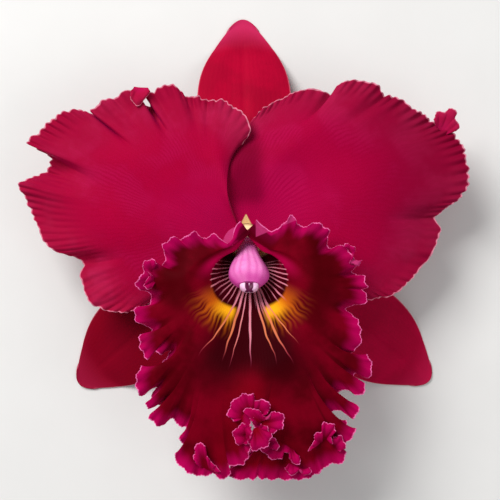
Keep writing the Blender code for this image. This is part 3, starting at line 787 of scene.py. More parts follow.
# The margin, lobe by lobe and bay by bay, from the upper left round to the upper right: the
# share of the ring that it hangs from, then X, Y and Z in mm
LIP_OUTLINE = [
    (-1.000, -2.5, 6.7, 44.0), (-0.990, -3.8, 5.3, 43.8), (-0.978, -4.8, 3.1, 43.4),
    (-0.967, -5.1, 0.6, 43.0), (-0.957, -5.2, -1.8, 42.8), (-0.948, -7.2, -1.2, 43.0),
    (-0.935, -9.7, 0.2, 43.2), (-0.922, -11.3, 2.2, 43.6), (-0.909, -13.3, 1.5, 43.0),
    (-0.891, -15.9, 0.4, 42.4), (-0.877, -17.3, 1.8, 43.0), (-0.860, -19.4, 2.9, 43.6),
    (-0.840, -21.6, 1.5, 43.0), (-0.819, -23.9, 0.0, 42.0), (-0.799, -26.1, 1.1, 43.0),
    (-0.780, -28.1, -0.1, 43.0), (-0.756, -30.5, -2.1, 43.0), (-0.734, -29.8, -4.8, 42.0),
    (-0.718, -29.7, -7.0, 41.6), (-0.694, -31.2, -9.9, 40.2), (-0.678, -32.7, -8.3, 41.6),
    (-0.663, -34.6, -7.2, 43.2), (-0.641, -37.1, -9.3, 44.0), (-0.621, -37.6, -12.4, 43.6),
    (-0.603, -39.6, -14.6, 43.6), (-0.592, -40.2, -16.4, 43.0), (-0.582, -39.2, -17.9, 42.0),
    (-0.567, -36.6, -18.6, 41.0), (-0.552, -34.9, -20.8, 39.8), (-0.540, -34.9, -23.0, 39.4),
    (-0.526, -37.3, -24.2, 41.0), (-0.513, -40.0, -24.5, 43.0), (-0.500, -40.5, -27.2, 43.6),
    (-0.488, -39.7, -29.7, 43.0), (-0.475, -36.9, -30.9, 41.4), (-0.464, -34.9, -32.8, 39.8),
    (-0.457, -35.2, -34.5, 40.0), (-0.446, -38.4, -34.3, 42.6), (-0.435, -38.7, -37.8, 43.6),
    (-0.426, -37.5, -40.9, 43.6), (-0.419, -35.7, -43.1, 43.0), (-0.413, -34.3, -40.6, 42.0),
    (-0.410, -32.9, -40.1, 42.4), (-0.405, -31.3, -41.9, 42.2), (-0.401, -29.7, -40.6, 40.6),
    (-0.398, -28.0, -40.5, 39.2), (-0.391, -29.9, -43.5, 38.8), (-0.384, -32.0, -46.7, 39.0),
    (-0.378, -34.5, -47.7, 40.0), (-0.374, -36.4, -47.0, 41.6), (-0.369, -38.0, -45.6, 43.2),
    (-0.362, -39.4, -48.1, 43.8), (-0.355, -40.0, -50.9, 43.8), (-0.348, -39.8, -53.8, 43.6),
    (-0.341, -37.9, -56.5, 42.6), (-0.336, -36.2, -55.0, 41.4), (-0.330, -33.1, -53.8, 39.4),
    (-0.326, -34.2, -55.8, 39.6), (-0.322, -35.0, -57.8, 41.0), (-0.318, -36.4, -59.2, 42.8),
    (-0.316, -36.1, -60.8, 43.0), (-0.313, -34.0, -60.6, 41.4), (-0.309, -32.0, -59.9, 39.8),
    (-0.306, -30.2, -61.3, 39.0), (-0.303, -31.3, -62.7, 39.6), (-0.298, -34.4, -62.6, 41.4),
    (-0.295, -35.2, -64.0, 43.0), (-0.291, -33.5, -66.1, 43.2), (-0.286, -30.9, -67.4, 42.2),
    (-0.281, -29.0, -66.0, 40.4), (-0.277, -26.6, -65.1, 39.0), (-0.273, -25.8, -67.1, 39.4),
    (-0.269, -24.1, -68.0, 40.4), (-0.266, -22.1, -67.8, 40.2), (-0.261, -23.2, -70.0, 41.4),
    (-0.257, -24.5, -72.3, 43.0), (-0.252, -22.7, -73.8, 42.6), (-0.248, -21.0, -75.0, 40.8),
    (-0.243, -22.8, -76.6, 41.0), (-0.235, -26.1, -77.4, 43.0), (-0.231, -26.3, -79.1, 43.6),
    (-0.224, -24.5, -81.2, 43.6), (-0.213, -21.6, -83.7, 43.6), (-0.202, -18.7, -85.2, 43.4),
    (-0.192, -15.5, -85.4, 42.6), (-0.181, -12.3, -85.0, 42.8), (-0.171, -9.7, -85.9, 43.4),
    (-0.164, -7.5, -86.4, 43.6), (-0.154, -5.9, -84.5, 43.4), (-0.145, -6.3, -82.2, 43.2),
    (-0.134, -3.9, -81.1, 44.4), (-0.123, -1.4, -81.1, 45.4), (-0.107, 0.2, -78.5, 47.0),
    (-0.085, 1.3, -74.9, 49.0), (-0.055, 1.6, -70.4, 50.4), (-0.026, 1.6, -66.4, 51.0),
    (-0.002, 1.6, -63.2, 51.0), (0.023, 2.3, -66.6, 50.2), (0.050, 2.5, -70.6, 49.4),
    (0.075, 1.4, -74.7, 47.4), (0.096, -0.6, -78.4, 44.6), (0.112, -3.6, -81.2, 42.0),
    (0.121, -6.4, -82.6, 40.8), (0.127, -7.6, -84.6, 40.2), (0.134, -5.6, -86.8, 40.2),
    (0.141, -1.4, -86.9, 41.2), (0.147, 2.2, -86.9, 41.4), (0.151, 3.8, -86.3, 40.6),
    (0.156, 5.4, -86.6, 41.4), (0.162, 8.0, -86.9, 42.2), (0.168, 10.5, -86.9, 42.2),
    (0.173, 12.5, -86.9, 41.2), (0.178, 14.5, -86.8, 42.0), (0.185, 17.0, -86.9, 42.8),
    (0.191, 19.1, -86.8, 43.0), (0.198, 21.3, -86.4, 42.8), (0.204, 23.5, -85.6, 42.6),
    (0.213, 26.0, -84.4, 43.2), (0.221, 28.2, -82.3, 42.4), (0.228, 30.4, -81.4, 42.6),
    (0.235, 32.8, -80.8, 43.2), (0.243, 35.3, -79.1, 43.6), (0.249, 35.9, -77.0, 42.8),
    (0.254, 34.5, -75.7, 41.0), (0.261, 36.1, -73.1, 42.6), (0.267, 38.2, -71.0, 43.4),
    (0.272, 39.2, -68.5, 43.2), (0.276, 36.9, -67.8, 42.0), (0.280, 36.1, -65.7, 41.2),
    (0.282, 34.3, -66.1, 40.0), (0.286, 32.4, -67.3, 39.2), (0.290, 30.2, -65.7, 38.8),
    (0.294, 30.8, -63.1, 39.2), (0.298, 33.2, -61.8, 40.4), (0.302, 35.8, -63.1, 42.0),
    (0.307, 38.6, -64.5, 43.2), (0.311, 40.0, -62.1, 43.6), (0.314, 39.9, -59.7, 43.0),
    (0.318, 37.7, -59.0, 41.4), (0.322, 35.2, -58.2, 40.2), (0.325, 33.3, -57.5, 39.0),
    (0.328, 33.0, -55.8, 39.0), (0.332, 34.9, -54.8, 40.0), (0.336, 37.1, -54.6, 41.4),
    (0.341, 39.7, -56.3, 43.0), (0.348, 42.6, -54.0, 43.4), (0.352, 42.3, -51.9, 42.8),
    (0.356, 40.4, -51.2, 41.0), (0.360, 39.1, -50.0, 39.4), (0.364, 39.8, -48.5, 39.6),
    (0.369, 42.0, -49.6, 41.4), (0.373, 43.7, -49.9, 43.0), (0.381, 45.0, -46.8, 43.8),
    (0.390, 44.5, -43.4, 43.6), (0.395, 43.5, -41.8, 43.0), (0.402, 41.3, -42.2, 41.2),
    (0.409, 39.1, -42.8, 39.6), (0.415, 38.0, -41.4, 40.0), (0.421, 38.9, -39.9, 42.4),
    (0.430, 40.4, -38.2, 43.6), (0.444, 41.1, -35.1, 43.8), (0.459, 40.9, -31.9, 43.4),
    (0.476, 39.8, -28.7, 42.0), (0.493, 37.4, -26.8, 40.0), (0.503, 36.2, -25.4, 39.2),
    (0.517, 38.1, -23.7, 40.4), (0.534, 41.2, -23.4, 42.6), (0.548, 43.4, -21.9, 43.6),
    (0.561, 42.8, -19.6, 43.0), (0.570, 41.9, -18.2, 42.4), (0.582, 43.6, -16.9, 43.6),
    (0.596, 42.4, -14.8, 42.8), (0.606, 42.4, -13.0, 43.0), (0.621, 39.9, -12.8, 41.4),
    (0.635, 37.9, -11.9, 40.6), (0.647, 38.9, -10.3, 42.4), (0.662, 39.3, -8.1, 43.8),
    (0.681, 37.8, -5.6, 43.8), (0.701, 36.2, -3.2, 43.6), (0.720, 34.1, -1.8, 43.0),
    (0.732, 32.6, -2.5, 41.8), (0.747, 30.7, -3.0, 40.6), (0.761, 29.2, -1.8, 41.0),
    (0.778, 29.1, 0.4, 42.4), (0.798, 29.7, 3.1, 43.6), (0.821, 27.4, 5.0, 43.8),
    (0.843, 24.7, 6.3, 43.6), (0.864, 22.0, 5.0, 42.6), (0.878, 19.9, 4.9, 42.2),
    (0.890, 18.1, 5.5, 42.6), (0.904, 17.5, 7.8, 43.8), (0.913, 16.0, 8.7, 44.2),
    (0.927, 14.1, 6.7, 43.8), (0.943, 11.6, 4.5, 43.4), (0.959, 8.7, 3.1, 42.8),
    (0.966, 7.6, 3.7, 42.6), (0.982, 5.4, 5.3, 43.0), (1.000, 3.4, 7.2, 43.8),
]
LIP_TOOTH = 0.3 * MM
LIP_TOOTH_PITCH = 1.15 * MM
LIP_LOBE_HEIGHT = 1.35
# Curls of the margin that stand up and fold back over the skirt, each a small fan: its neck
# from end to end, its free margin, both as X and Y in mm, and their heights in mm
LIP_CURLS = [
    ([(-1.4, -63.7), (5.0, -62.7)],
     [(-3.8, -64.2), (-6.6, -62.7), (-6.2, -59.5), (-3.5, -56.0), (-1.0, -54.8), (2.1, -55.0),
      (3.6, -57.1), (5.6, -56.4), (7.5, -57.8), (8.2, -60.6), (6.4, -61.8)], 48.6, 51.8),
    ([(5.0, -64.1), (5.0, -66.9)],
     [(6.0, -62.4), (7.5, -63.1), (9.9, -60.8), (11.5, -61.2), (13.3, -63.4), (12.3, -66.6),
      (9.9, -68.1), (7.5, -67.7)], 48.8, 52.2),
    ([(1.2, -68.0), (0.6, -71.4)],
     [(1.3, -66.6), (-1.8, -65.4), (-3.8, -67.0), (-5.0, -69.3), (-3.8, -71.9), (-2.1, -72.6),
      (0.0, -72.5)], 47.6, 51.4),
    ([(5.4, -70.4), (7.5, -72.9)],
     [(7.5, -69.8), (9.3, -70.8), (11.4, -73.3), (10.3, -74.8), (8.2, -74.8)], 46.1, 48.9),
    ([(3.2, -65.6), (6.0, -63.7)],
     [(2.5, -64.8), (0.7, -62.3), (-0.9, -60.7), (0.9, -59.4), (3.9, -60.6), (6.0, -62.0)],
     50.4, 52.8),
    ([(2.2, -67.3), (4.6, -66.6)],
     [(1.1, -70.0), (0.6, -71.8), (1.8, -73.9), (3.6, -74.6), (6.0, -73.4), (7.8, -72.1),
      (8.5, -68.8), (7.1, -66.5), (5.0, -65.1)], 50.2, 53.2),
    ([(10.0, -71.5), (16.8, -76.0)],
     [(7.6, -71.6), (5.6, -73.4), (5.2, -75.6), (7.6, -77.4), (10.0, -78.9), (12.0, -78.2),
      (13.3, -76.1), (15.2, -77.0), (16.0, -79.8), (18.2, -80.6), (18.8, -77.5)], 44.9, 47.3),
    ([(15.0, -80.6), (20.5, -83.0)],
     [(14.0, -82.0), (15.0, -84.2), (17.2, -84.4), (18.6, -82.6), (20.6, -84.8), (22.6, -84.0),
      (22.4, -81.8)], 43.2, 45.6),
    ([(25.4, -73.8), (29.0, -71.7)],
     [(22.2, -75.3), (23.1, -73.4), (24.2, -71.7), (23.8, -70.6), (24.6, -69.4), (26.6, -69.0),
      (27.1, -65.8), (30.2, -65.8), (31.7, -67.4), (30.6, -69.8), (30.2, -72.9)], 43.4, 47.4),
    ([(30.6, -74.1), (32.7, -76.3)],
     [(31.1, -71.0), (33.5, -70.5), (34.8, -71.9), (35.1, -74.5), (33.6, -76.0)], 43.0, 45.6),
    ([(-16.4, -82.2), (-11.5, -83.4)],
     [(-18.6, -80.0), (-18.9, -76.8), (-18.1, -73.9), (-16.5, -72.5), (-15.1, -74.3),
      (-14.5, -77.4), (-12.7, -79.7), (-10.8, -81.3), (-9.6, -83.0)], 43.2, 46.4),
    ([(-34.2, -11.0), (-33.0, -15.4)],
     [(-32.2, -8.4), (-34.7, -7.0), (-37.2, -9.1), (-35.9, -11.3), (-34.7, -12.7),
      (-36.2, -14.9), (-37.2, -16.9), (-34.1, -17.4)], 43.0, 45.8),
    ([(37.0, -3.6), (38.6, -7.6)],
     [(34.6, -2.2), (36.4, -1.6), (38.8, -3.6), (38.2, -6.0), (37.0, -8.2), (39.0, -9.4),
      (41.6, -7.6)], 43.2, 45.6),
]
LIP_CRIMSON = (0.17, 0.0001, 0.008, 1)
LIP_MAROON = (0.05, 0.0001, 0.001, 1)
LIP_MAGENTA = (0.4, 0.0008, 0.075, 1)
LIP_ROSE = (0.36, 0.0004, 0.045, 1)
LIP_SCARLET = (0.3, 0.0006, 0.01, 1)
LIP_THROAT = (0.024, 0.0002, 0.0015, 1)
LIP_STRIPE = (0.75, 0.24, 0.32, 1)
LIP_WARM_STRIPE = (0.72, 0.19, 0.08, 1)
LIP_YELLOW = (0.95, 0.42, 0.008, 1)
LIP_ORANGE = (0.55, 0.1, 0.004, 1)
LIP_CREAM = (0.7, 0.42, 0.2, 1)
LIP_RIM = (0.88, 0.17, 0.45, 1)
LIP_BACK = (0.45, 0.03, 0.14, 1)
LIP_SHEEN = (0.8, 0.0, 0.07, 1)
LIP_ROWS = [(t, 200) for t in np.linspace(0.0, 0.3, 10)]
LIP_ROWS += [(t, 400) for t in np.linspace(0.33, 0.62, 16)]
LIP_ROWS += [(t, 800) for t in np.linspace(0.64, 0.88, 18)]
LIP_ROWS += [(t, 1600) for t in (0.893, 0.906, 0.92, 0.934, 0.948, 0.962, 0.976, 0.988, 1.0)]
THROAT_MIDDLE = (1.1 * MM, -9.5 * MM)
STRIPES_PER_RADIAN = 7.4
THREADS_PER_RADIAN = 15.0
# The long stripes of the lip's floor: bearing in radians at the column and at the far end, 0
# straight down, then half the width and how far the stripe reaches, in mm
LIP_LONG_STRIPES = [
    (0.0, 0.01, 0.55, 37.0), (-0.25, -0.29, 0.55, 36.0), (-0.13, -0.2, 0.3, 38.0),
    (0.18, 0.27, 0.46, 37.0), (0.31, 0.41, 0.54, 39.0), (0.4, 0.56, 0.38, 34.0),
    (-0.36, -0.52, 0.4, 38.0),
]


def lip_ring(ring, share):
    """Points of one ring of the lip, at shares from -1 (upper left) over 0 (bottom) to 1."""
    centre_y, half_width, down, up, z_bottom, z_side, z_top, half_span = ring
    turn = np.radians(share * half_span)
    sideways, downwards = np.sin(turn), np.cos(turn)
    reach = np.where(downwards > 0, down, up)
    x = half_width * sideways + LIP_SIDEWAYS * min(1.0, -centre_y / 10)
    y = centre_y - reach * downwards
    z = z_side + np.where(downwards > 0, z_bottom - z_side, z_top - z_side) * downwards**2
    lift = -LIP_OVERLAP * np.sign(share) * ease(0.8, 1.0, abs(share)) * ease(160, 180, half_span)
    return np.stack([x * MM, y * MM + lift, z * MM + 0.6 * lift], -1)


class LipMargin(PetalMargin):
    """The lip's margin in three dimensions, with the share of the ring that it hangs from."""

    samples = 3000

    def __init__(self, outline):
        table = np.array(outline)
        corners = table[:, 1:] * MM
        knots, self.length = chord_knots(corners)
        self.q = np.linspace(0.0, 1.0, self.samples + 1)
        self.run = through(knots, corners, self.q)
        self.share = np.interp(self.q, knots, table[:, 0])
        per_mm = self.samples * MM / self.length
        self.share = smoothed(self.share[:, None], 4 * per_mm)[:, 0]
        self.calm = smoothed(self.run, 7 * per_mm)
        ahead = np.gradient(self.calm, axis=0)
        ahead[:, 2] = 0.0
        ahead /= np.linalg.norm(ahead, axis=1, keepdims=True)
        self.outwards = np.stack([ahead[:, 1], -ahead[:, 0], 0 * ahead[:, 0]], -1)


lip_margin = LipMargin(LIP_OUTLINE)


def lip_surface(q, t):
    """The lip's middle surface: q runs along its margin and t from the claw to the margin."""
    share = lip_margin.at(lip_margin.share, q)
    rings = np.stack([lip_ring(ring, share) for ring in LIP_RINGS])
    for side, edge in LIP_FREE_EDGES.items():
        for i, start, *spot in edge:
            end = lip_ring(LIP_RINGS[i], np.array([float(side)]))[0]
            pull = ease(start, 1.0, side * share)[:, None]
            rings[i] = rings[i] + pull * (np.array(spot) * MM - end)
    mouth = LIP_KNOTS[-1]
    if t <= mouth:
        return through(LIP_KNOTS, rings, t)
    calm = lip_margin.at(lip_margin.calm, q)
    run = lip_margin.at(lip_margin.run, q)
    outwards = lip_margin.at(lip_margin.outwards, q)
    start = rings[-1]
    slope = (rings[-1] - rings[-2]) / (LIP_KNOTS[-1] - LIP_KNOTS[-2])
    span = np.linalg.norm(calm - start, axis=1, keepdims=True)
    second = start + slope * (1.0 - mouth) / 3 * np.minimum(span / (22.0 * MM), 1.0)
    way = outwards + 0.4 * (calm - start) / span
    way /= np.linalg.norm(way, axis=1, keepdims=True)
    third = calm - way * np.minimum(5.5 * MM, 0.4 * span)
    u = (t - mouth) / (1.0 - mouth)
    skirt = (
        start * (1 - u) ** 3 + second * 3 * u * (1 - u) ** 2 + third * 3 * u * u * (1 - u)
        + calm * u**3
    )
    length = (lip_margin.length / MM * q)[:, None]
    calmed = (ease(0.0, 0.04, q) * ease(1.0, 0.97, q))[:, None]
    ripple = run - calm
    ripple[:, :2] *= ease(0.3, 1.0, u) ** 1.4
    ripple[:, 2] *= LIP_LOBE_HEIGHT * ease(0.55, 1.0, u) ** 1.6
    skirt = skirt + ripple
    low = ease(0.3, 0.22, abs(share))[:, None]
    frill = np.sin(length / 0.7 + 1.6 * np.sin(length / 4.1)) * calmed
    fold = np.sin(length / 1.3 + 1.5 * np.sin(length / 5.3)) * calmed * low
    skirt = skirt + UPWARDS * MM * (0.55 * frill * ease(0.72, 1.0, u) ** 2
                                    + 1.0 * fold * ease(0.6, 1.0, u) ** 1.6)
    sway = np.cos(length / 0.7 + 1.2 * np.sin(length / 3.3)) * calmed
    skirt = skirt + outwards * 0.32 * MM * (sway - 0.4 * low) * ease(0.75, 1.0, u) ** 2
    tooth = np.abs(np.sin(np.pi * length * MM / LIP_TOOTH_PITCH + 0.8 * np.sin(length / 2.3)))
    return skirt + outwards * (LIP_TOOTH * (tooth - 0.6) * ease(0.93, 1.0, u)) * calmed


# Long stripe: a line that bends from one bearing to another and ends in a point.
long_stripe, given, result = new_effect(
    "long stripe",
    {"Bearing": 0.0, "Reach": 20.0, "From": 0.0, "To": 0.0, "Half width": 0.4, "End": 30.0},
    ("Stripe",),
)
course = fade(long_stripe, given["Reach"], 8.0, given["End"], given["From"], given["To"])
course = reckon(long_stripe, "ABSOLUTE",
                reckon(long_stripe, "SUBTRACT", given["Bearing"], course))
course = reckon(long_stripe, "DIVIDE", times(long_stripe, course, given["Reach"]),
                given["Half width"])
spent = reckon(long_stripe, "DIVIDE", given["Reach"], given["End"])
course = times(long_stripe, course, fade(long_stripe, spent, 0.6, 1.0, 1.0, 2.2))
long_stripe.links.new(
    times(long_stripe, fade(long_stripe, course, 1.0, 0.45), fade(long_stripe, spent, 1.0, 0.75)),
    result["Stripe"],
)


def around_throat(tree, place):
    """Bearing in radians and reach in mm from the throat's middle, with 0 straight down."""
    right = reckon(tree, "SUBTRACT", place["X"], THROAT_MIDDLE[0])
    below = reckon(tree, "SUBTRACT", THROAT_MIDDLE[1], place["Y"])
    away = add(tree, "CombineXYZ", {0: right, 1: below}).outputs[0]
    away = add(tree, "VectorMath", {0: away}, operation="LENGTH").outputs["Value"]
    return reckon(tree, "ARCTAN2", right, below), reckon(tree, "DIVIDE", away, MM)


def of_its_own(tree, line):
    """A fixed value from 0 to 1 for each line of a fan."""
    return add(tree, "TexWhiteNoise", {"W": reckon(tree, "ROUND", line)},
               noise_dimensions="1D").outputs["Value"]


def eye_share(tree, bearing, reach, inside, wander):
    """The orange eyes on both sides of the throat, which run out into threads."""
    aside = reckon(tree, "ABSOLUTE", bearing)
    eye = times(tree, fade(tree, inside, 0.02, -0.01), fade(tree, aside, 0.26, 0.38),
                fade(tree, aside, 1.2, 0.7), fade(tree, reach, 29.0, 20.0))
    thread = reckon(tree, "ADD", times(tree, bearing, THREADS_PER_RADIAN),
                    times(tree, wander, 3.4))
    between = fade(tree, off_line(tree, thread), 0.02, 0.42)
    between = times(tree, between, fade(tree, reach, 18.0, 23.0, 0.0, 0.6))
    weak = times(tree, of_its_own(tree, thread), fade(tree, reach, 18.0, 22.0, 0.0, 0.6))
    bare = reckon(tree, "ADD", between, weak, clamp=True)
    return times(tree, eye, reckon(tree, "SUBTRACT", 1.0, bare))


def stripe_share(tree, bearing, reach, inside, wander):
    """The throat's pale stripes, each of its own width in mm and length, and the long ones."""
    aside = reckon(tree, "ABSOLUTE", bearing)
    ray = reckon(tree, "ADD", times(tree, bearing, STRIPES_PER_RADIAN), times(tree, wander, 0.7))
    own = of_its_own(tree, ray)
    from_line = times(tree, off_line(tree, ray),
                      reckon(tree, "DIVIDE", reach, STRIPES_PER_RADIAN))
    from_line = reckon(tree, "DIVIDE", from_line, fade(tree, own, 0.0, 1.0, 0.2, 0.34))
    far = reckon(tree, "SUBTRACT", fade(tree, own, 0.0, 1.0, 16.0, 22.0),
                 fade(tree, aside, 0.4, 1.0, 0.0, 4.0))
    walls = times(tree, fade(tree, aside, 0.95, 1.05), fade(tree, inside, -0.02, 0.0))
    floor = times(tree, fade(tree, aside, 1.05, 0.95),
                  fade(tree, reckon(tree, "DIVIDE", reach, far), 1.0, 0.75))
    stripe = times(
        tree, fade(tree, from_line, 1.0, 0.5), reckon(tree, "MAXIMUM", walls, floor),
        fade(tree, aside, 1.8, 1.65), fade(tree, own, 0.0, 0.4, 0.4, 0.9),
        fade(tree, aside, 0.3, 0.5, 0.6, 1.0),
    )
    swayed = reckon(tree, "ADD", bearing, times(tree, wander, 0.06))
    for start, end, half_width, length in LIP_LONG_STRIPES:
        one = place_effect(tree, long_stripe, {
            "Bearing": swayed, "Reach": reach, "From": start, "To": end,
            "Half width": half_width, "End": length,
        })["Stripe"]
        stripe = reckon(tree, "MAXIMUM", stripe, times(tree, one, 0.9))
    return stripe


def lip_finish():
    """Bearings are in radians, reach and to_rim in mm, and outward runs from claw to margin."""
    material, tree, shader = new_finish("lip velvet", 0.5, 0.01, sheen=0.4, sheen_tint=LIP_SHEEN)
    skin = place_effect(tree, plant_skin, {"Cell size": 0.25, "Patch size": 11.0})
    outward, to_rim, share = read(tree, "outward"), read(tree, "to_rim"), read(tree, "ring_share")
    place = placed(tree)
    bearing, reach = around_throat(tree, place)
    aside, side = reckon(tree, "ABSOLUTE", bearing), reckon(tree, "ABSOLUTE", share)
    veins = place_effect(tree, fan_of_veins, {
        "Across": share, "Outward": outward, "Count": 26.0, "Width": 0.4, "Wander": 1.8,
    })["Vein"]
    # Skirt: crimson velvet with maroon clouds, a scarlet middle and a magenta hem
    colour = paint(tree, times(tree, skin["Mottle"], 0.75), LIP_CRIMSON, LIP_MAROON)
    # The skirt's flanks are darkened to maroon: partly the lip's own maroon, partly painted shade
    # of its folds.
    flank = times(tree, fade(tree, aside, 0.75, 1.2), fade(tree, reach, 20.0, 25.0),
                  fade(tree, reach, 36.0, 29.0), 0.85)
    colour = paint(tree, flank, colour, LIP_MAROON)
    middle = times(tree, fade(tree, aside, 0.32, 0.0), fade(tree, reach, 29.0, 47.0))
    colour = paint(tree, times(tree, middle, 0.5), colour, LIP_SCARLET)
    collar = times(tree, fade(tree, outward, 0.62, 0.48), fade(tree, aside, 1.2, 1.7))
    colour = paint(tree, collar, colour, LIP_ROSE)
    colour = paint(tree, times(tree, veins, 0.08), colour, LIP_MAROON)
    # Painted shade: the bays between the margin's lobes, where the crest is below zero, are
    # darkened to maroon.
    colour = paint(tree, fade(tree, read(tree, "crest"), 0.0, -1.6, 0.0, 0.8), colour, LIP_MAROON)
    hem = fade(tree, to_rim, 6.5, 0.8, 0.0, fade(tree, skin["Mottle"], 0.0, 1.0, 0.98, 0.75))
    colour = paint(tree, hem, colour, LIP_MAGENTA)
    # Throat: maroon walls, a maroon floor that fades forwards, eyes and stripes
    inside = reckon(tree, "SUBTRACT", fade(tree, aside, 0.25, 1.0, 0.375, 0.43), outward)
    ground = times(tree, fade(tree, aside, 0.75, 0.35), fade(tree, reach, 54.0, 34.0),
                   fade(tree, middle, 0.0, 1.0, 0.95, 0.2))
    throat = reckon(tree, "MAXIMUM", fade(tree, inside, -0.012, 0.012), ground)
    colour = paint(tree, throat, colour, LIP_THROAT)
    wander = reckon(tree, "SUBTRACT", clouds(tree, 130.0, 1.0), 0.5)
    glow = times(tree, fade(tree, reach, 25.0, 18.0), fade(tree, aside, 0.85, 0.5))
    colour = paint(tree, eye_share(tree, bearing, reach, inside, wander), colour,
                   paint(tree, glow, LIP_ORANGE, LIP_YELLOW))
    warm = times(tree, fade(tree, reach, 14.0, 19.0), fade(tree, aside, 0.1, 0.24))
    striped = paint(tree, warm, LIP_STRIPE, LIP_WARM_STRIPE)
    striped = paint(tree, fade(tree, reach, 24.0, 36.0, 0.0, 0.8), striped, LIP_MAGENTA)
    colour = paint(tree, stripe_share(tree, bearing, reach, inside, wander), colour, striped)
    # The tube's inside is cream behind the column, and its crossed free edges are dark. A corner
    # of the right edge is turned back and shows its paler underside.
    cream = times(tree, fade(tree, outward, 0.36, 0.28), fade(tree, aside, 2.1, 2.4),
                  fade(tree, side, 0.92, 0.86))
    colour = paint(tree, cream, colour, LIP_CREAM)
    crossing = times(tree, fade(tree, side, 0.93, 0.965), fade(tree, outward, 0.3, 0.4),
                     fade(tree, to_rim, 1.2, 2.2), 0.75)
    colour = paint(tree, crossing, colour, LIP_MAROON)
    above = reckon(tree, "SUBTRACT", place["Y"], times(tree, place["X"], 0.42))
    turned = times(tree, fade(tree, place["X"], 3.0 * MM, 3.4 * MM),
                   fade(tree, above, -0.6 * MM, -0.2 * MM), 0.8)
    colour = paint(tree, turned, colour, LIP_BACK)
    rim = place_effect(tree, pale_rim, {"To rim": to_rim, "Width": 0.42})["Rim"]
    colour = paint(tree, times(tree, rim, 0.78), colour, LIP_RIM)
    colour = paint(tree, read(tree, "face_side"), LIP_BACK, colour)
    relief = reckon(tree, "ADD", skin["Relief"], times(tree, veins, -0.5))
    dress(tree, shader, colour, relief, 0.1 * MM, 0.6)
    return material


points, faces, marks = thick_sheet(lip_surface, LIP_ROWS, LIP_THICKNESS)
marks["ring_share"] = lip_margin.at(lip_margin.share, marks["across"])
# crest is how far the margin's lobes rise, in mm; the lip's finish darkens its bays with it as
# painted shade.
bulge = (lip_margin.run - lip_margin.calm)[:, 2] / MM
marks["crest"] = lip_margin.at(bulge, marks["across"]) * ease(0.7, 0.95, marks["outward"])
lip_velvet = lip_finish()
make_piece("lip_velvet", points, faces, marks, lip_velvet, "lip")

all_points, all_faces, all_marks = [], [], []
for number, (neck, margin, neck_height, height) in enumerate(LIP_CURLS):
    points, faces, marks = thick_sheet(
        curl_surface(neck, margin, neck_height, height, number), CURL_ROWS, LIP_THICKNESS)
    start = sum(len(done) for done in all_points)
    all_points.append(points)
    all_faces += [tuple(start + i for i in face) for face in faces]
    # A curl is painted as the skirt is near its margin.
    marks["ring_share"] = np.zeros(len(points))
    marks["crest"] = np.zeros(len(points))
    marks["outward"] = 0.75 + 0.25 * marks["outward"]
    all_marks.append(marks)
make_piece(
    "lip_curls", np.concatenate(all_points), all_faces,
    {mark: np.concatenate([marks[mark] for marks in all_marks]) for mark in all_marks[0]},
    lip_velvet,
)

# Column
# The fused stamens and pistil: a fleshy club that grows from the top of the receptacle, under
# the tube's roof. Bright pink with magenta streaks, and widened by a wing on each side.

COLUMN_BASE = np.array([0.0, 0.0, RECEPTACLE_TOP + 0.3 * MM])
COLUMN_TIP = np.array([0.8 * MM, -16.5 * MM, 46.0 * MM])
COLUMN_TILT = 46.0
COLUMN_RIDGES = 7
RIDGE_HEIGHT = 0.02
COLUMN_STEPS = 60
COLUMN_SIDES = 64
# Share of the column's length, then half the width and half the height in mm
COLUMN_SECTIONS = [
    (0.00, 5.6, 5.4), (0.05, 5.2, 5.0), (0.13, 4.0, 3.7), (0.28, 4.0, 3.5), (0.42, 4.9, 3.7),
    (0.56, 6.2, 3.9), (0.68, 7.1, 4.0), (0.78, 7.4, 3.9), (0.87, 6.9, 3.5), (0.94, 5.8, 3.0),
    (1.00, 4.4, 2.4),
]
COLUMN_PINK = (0.9, 0.2, 0.58, 1)
COLUMN_MAUVE = (0.5, 0.04, 0.26, 1)
COLUMN_PALE = (0.95, 0.5, 0.75, 1)
COLUMN_ROSE = (1.0, 0.1, 0.5, 1)
COLUMN_CREAM = (1.0, 0.75, 0.4, 1)


def column_frame(share):
    """The column's direction and its downward side, which turn over its first third."""
    tilt = math.radians(COLUMN_TILT) * ease(0.0, 0.35, share)
    return (
        np.array([0.0, -math.sin(tilt), math.cos(tilt)]),
        np.array([0.0, -math.cos(tilt), -math.sin(tilt)]),
    )


def column_finish():
    material, tree, shader = new_finish("column wax", 0.45, 0.2)
    skin = place_effect(tree, plant_skin, {"Cell size": 0.3, "Patch size": 3.0})
    around, up_column = read(tree, "around"), read(tree, "up_column")
    streaks = place_effect(tree, fan_of_veins, {
        "Across": around, "Outward": 0.0, "Count": 16.0, "Width": 0.4, "Wander": 0.9,
    })["Vein"]
    colour = paint(tree, times(tree, skin["Mottle"], 0.3), COLUMN_PINK, COLUMN_PALE)
    # Painted shade: the column's sides and underside are darkened to mauve, away from its top.
    flank = reckon(tree, "ABSOLUTE", reckon(tree, "SUBTRACT", around, 0.25))
    colour = paint(tree, fade(tree, flank, 0.07, 0.22, 0.0, 0.85), colour, COLUMN_MAUVE)
    colour = paint(tree, times(tree, streaks, 0.38), colour, COLUMN_MAUVE)
    colour = paint(tree, fade(tree, up_column, 0.74, 0.96, 0.0, 0.85), colour, COLUMN_MAUVE)
    # Partly the column's own magenta, partly painted light: the foot, in the shade of the tube's
    # crossed edges, is painted a brighter rose.
    colour = paint(tree, fade(tree, up_column, 0.45, 0.2, 0.0, 0.8), colour, COLUMN_ROSE)
    colour = paint(tree, fade(tree, up_column, 0.16, 0.13), colour, COLUMN_CREAM)
    dress(tree, shader, colour, skin["Relief"], 0.06 * MM)
    return material


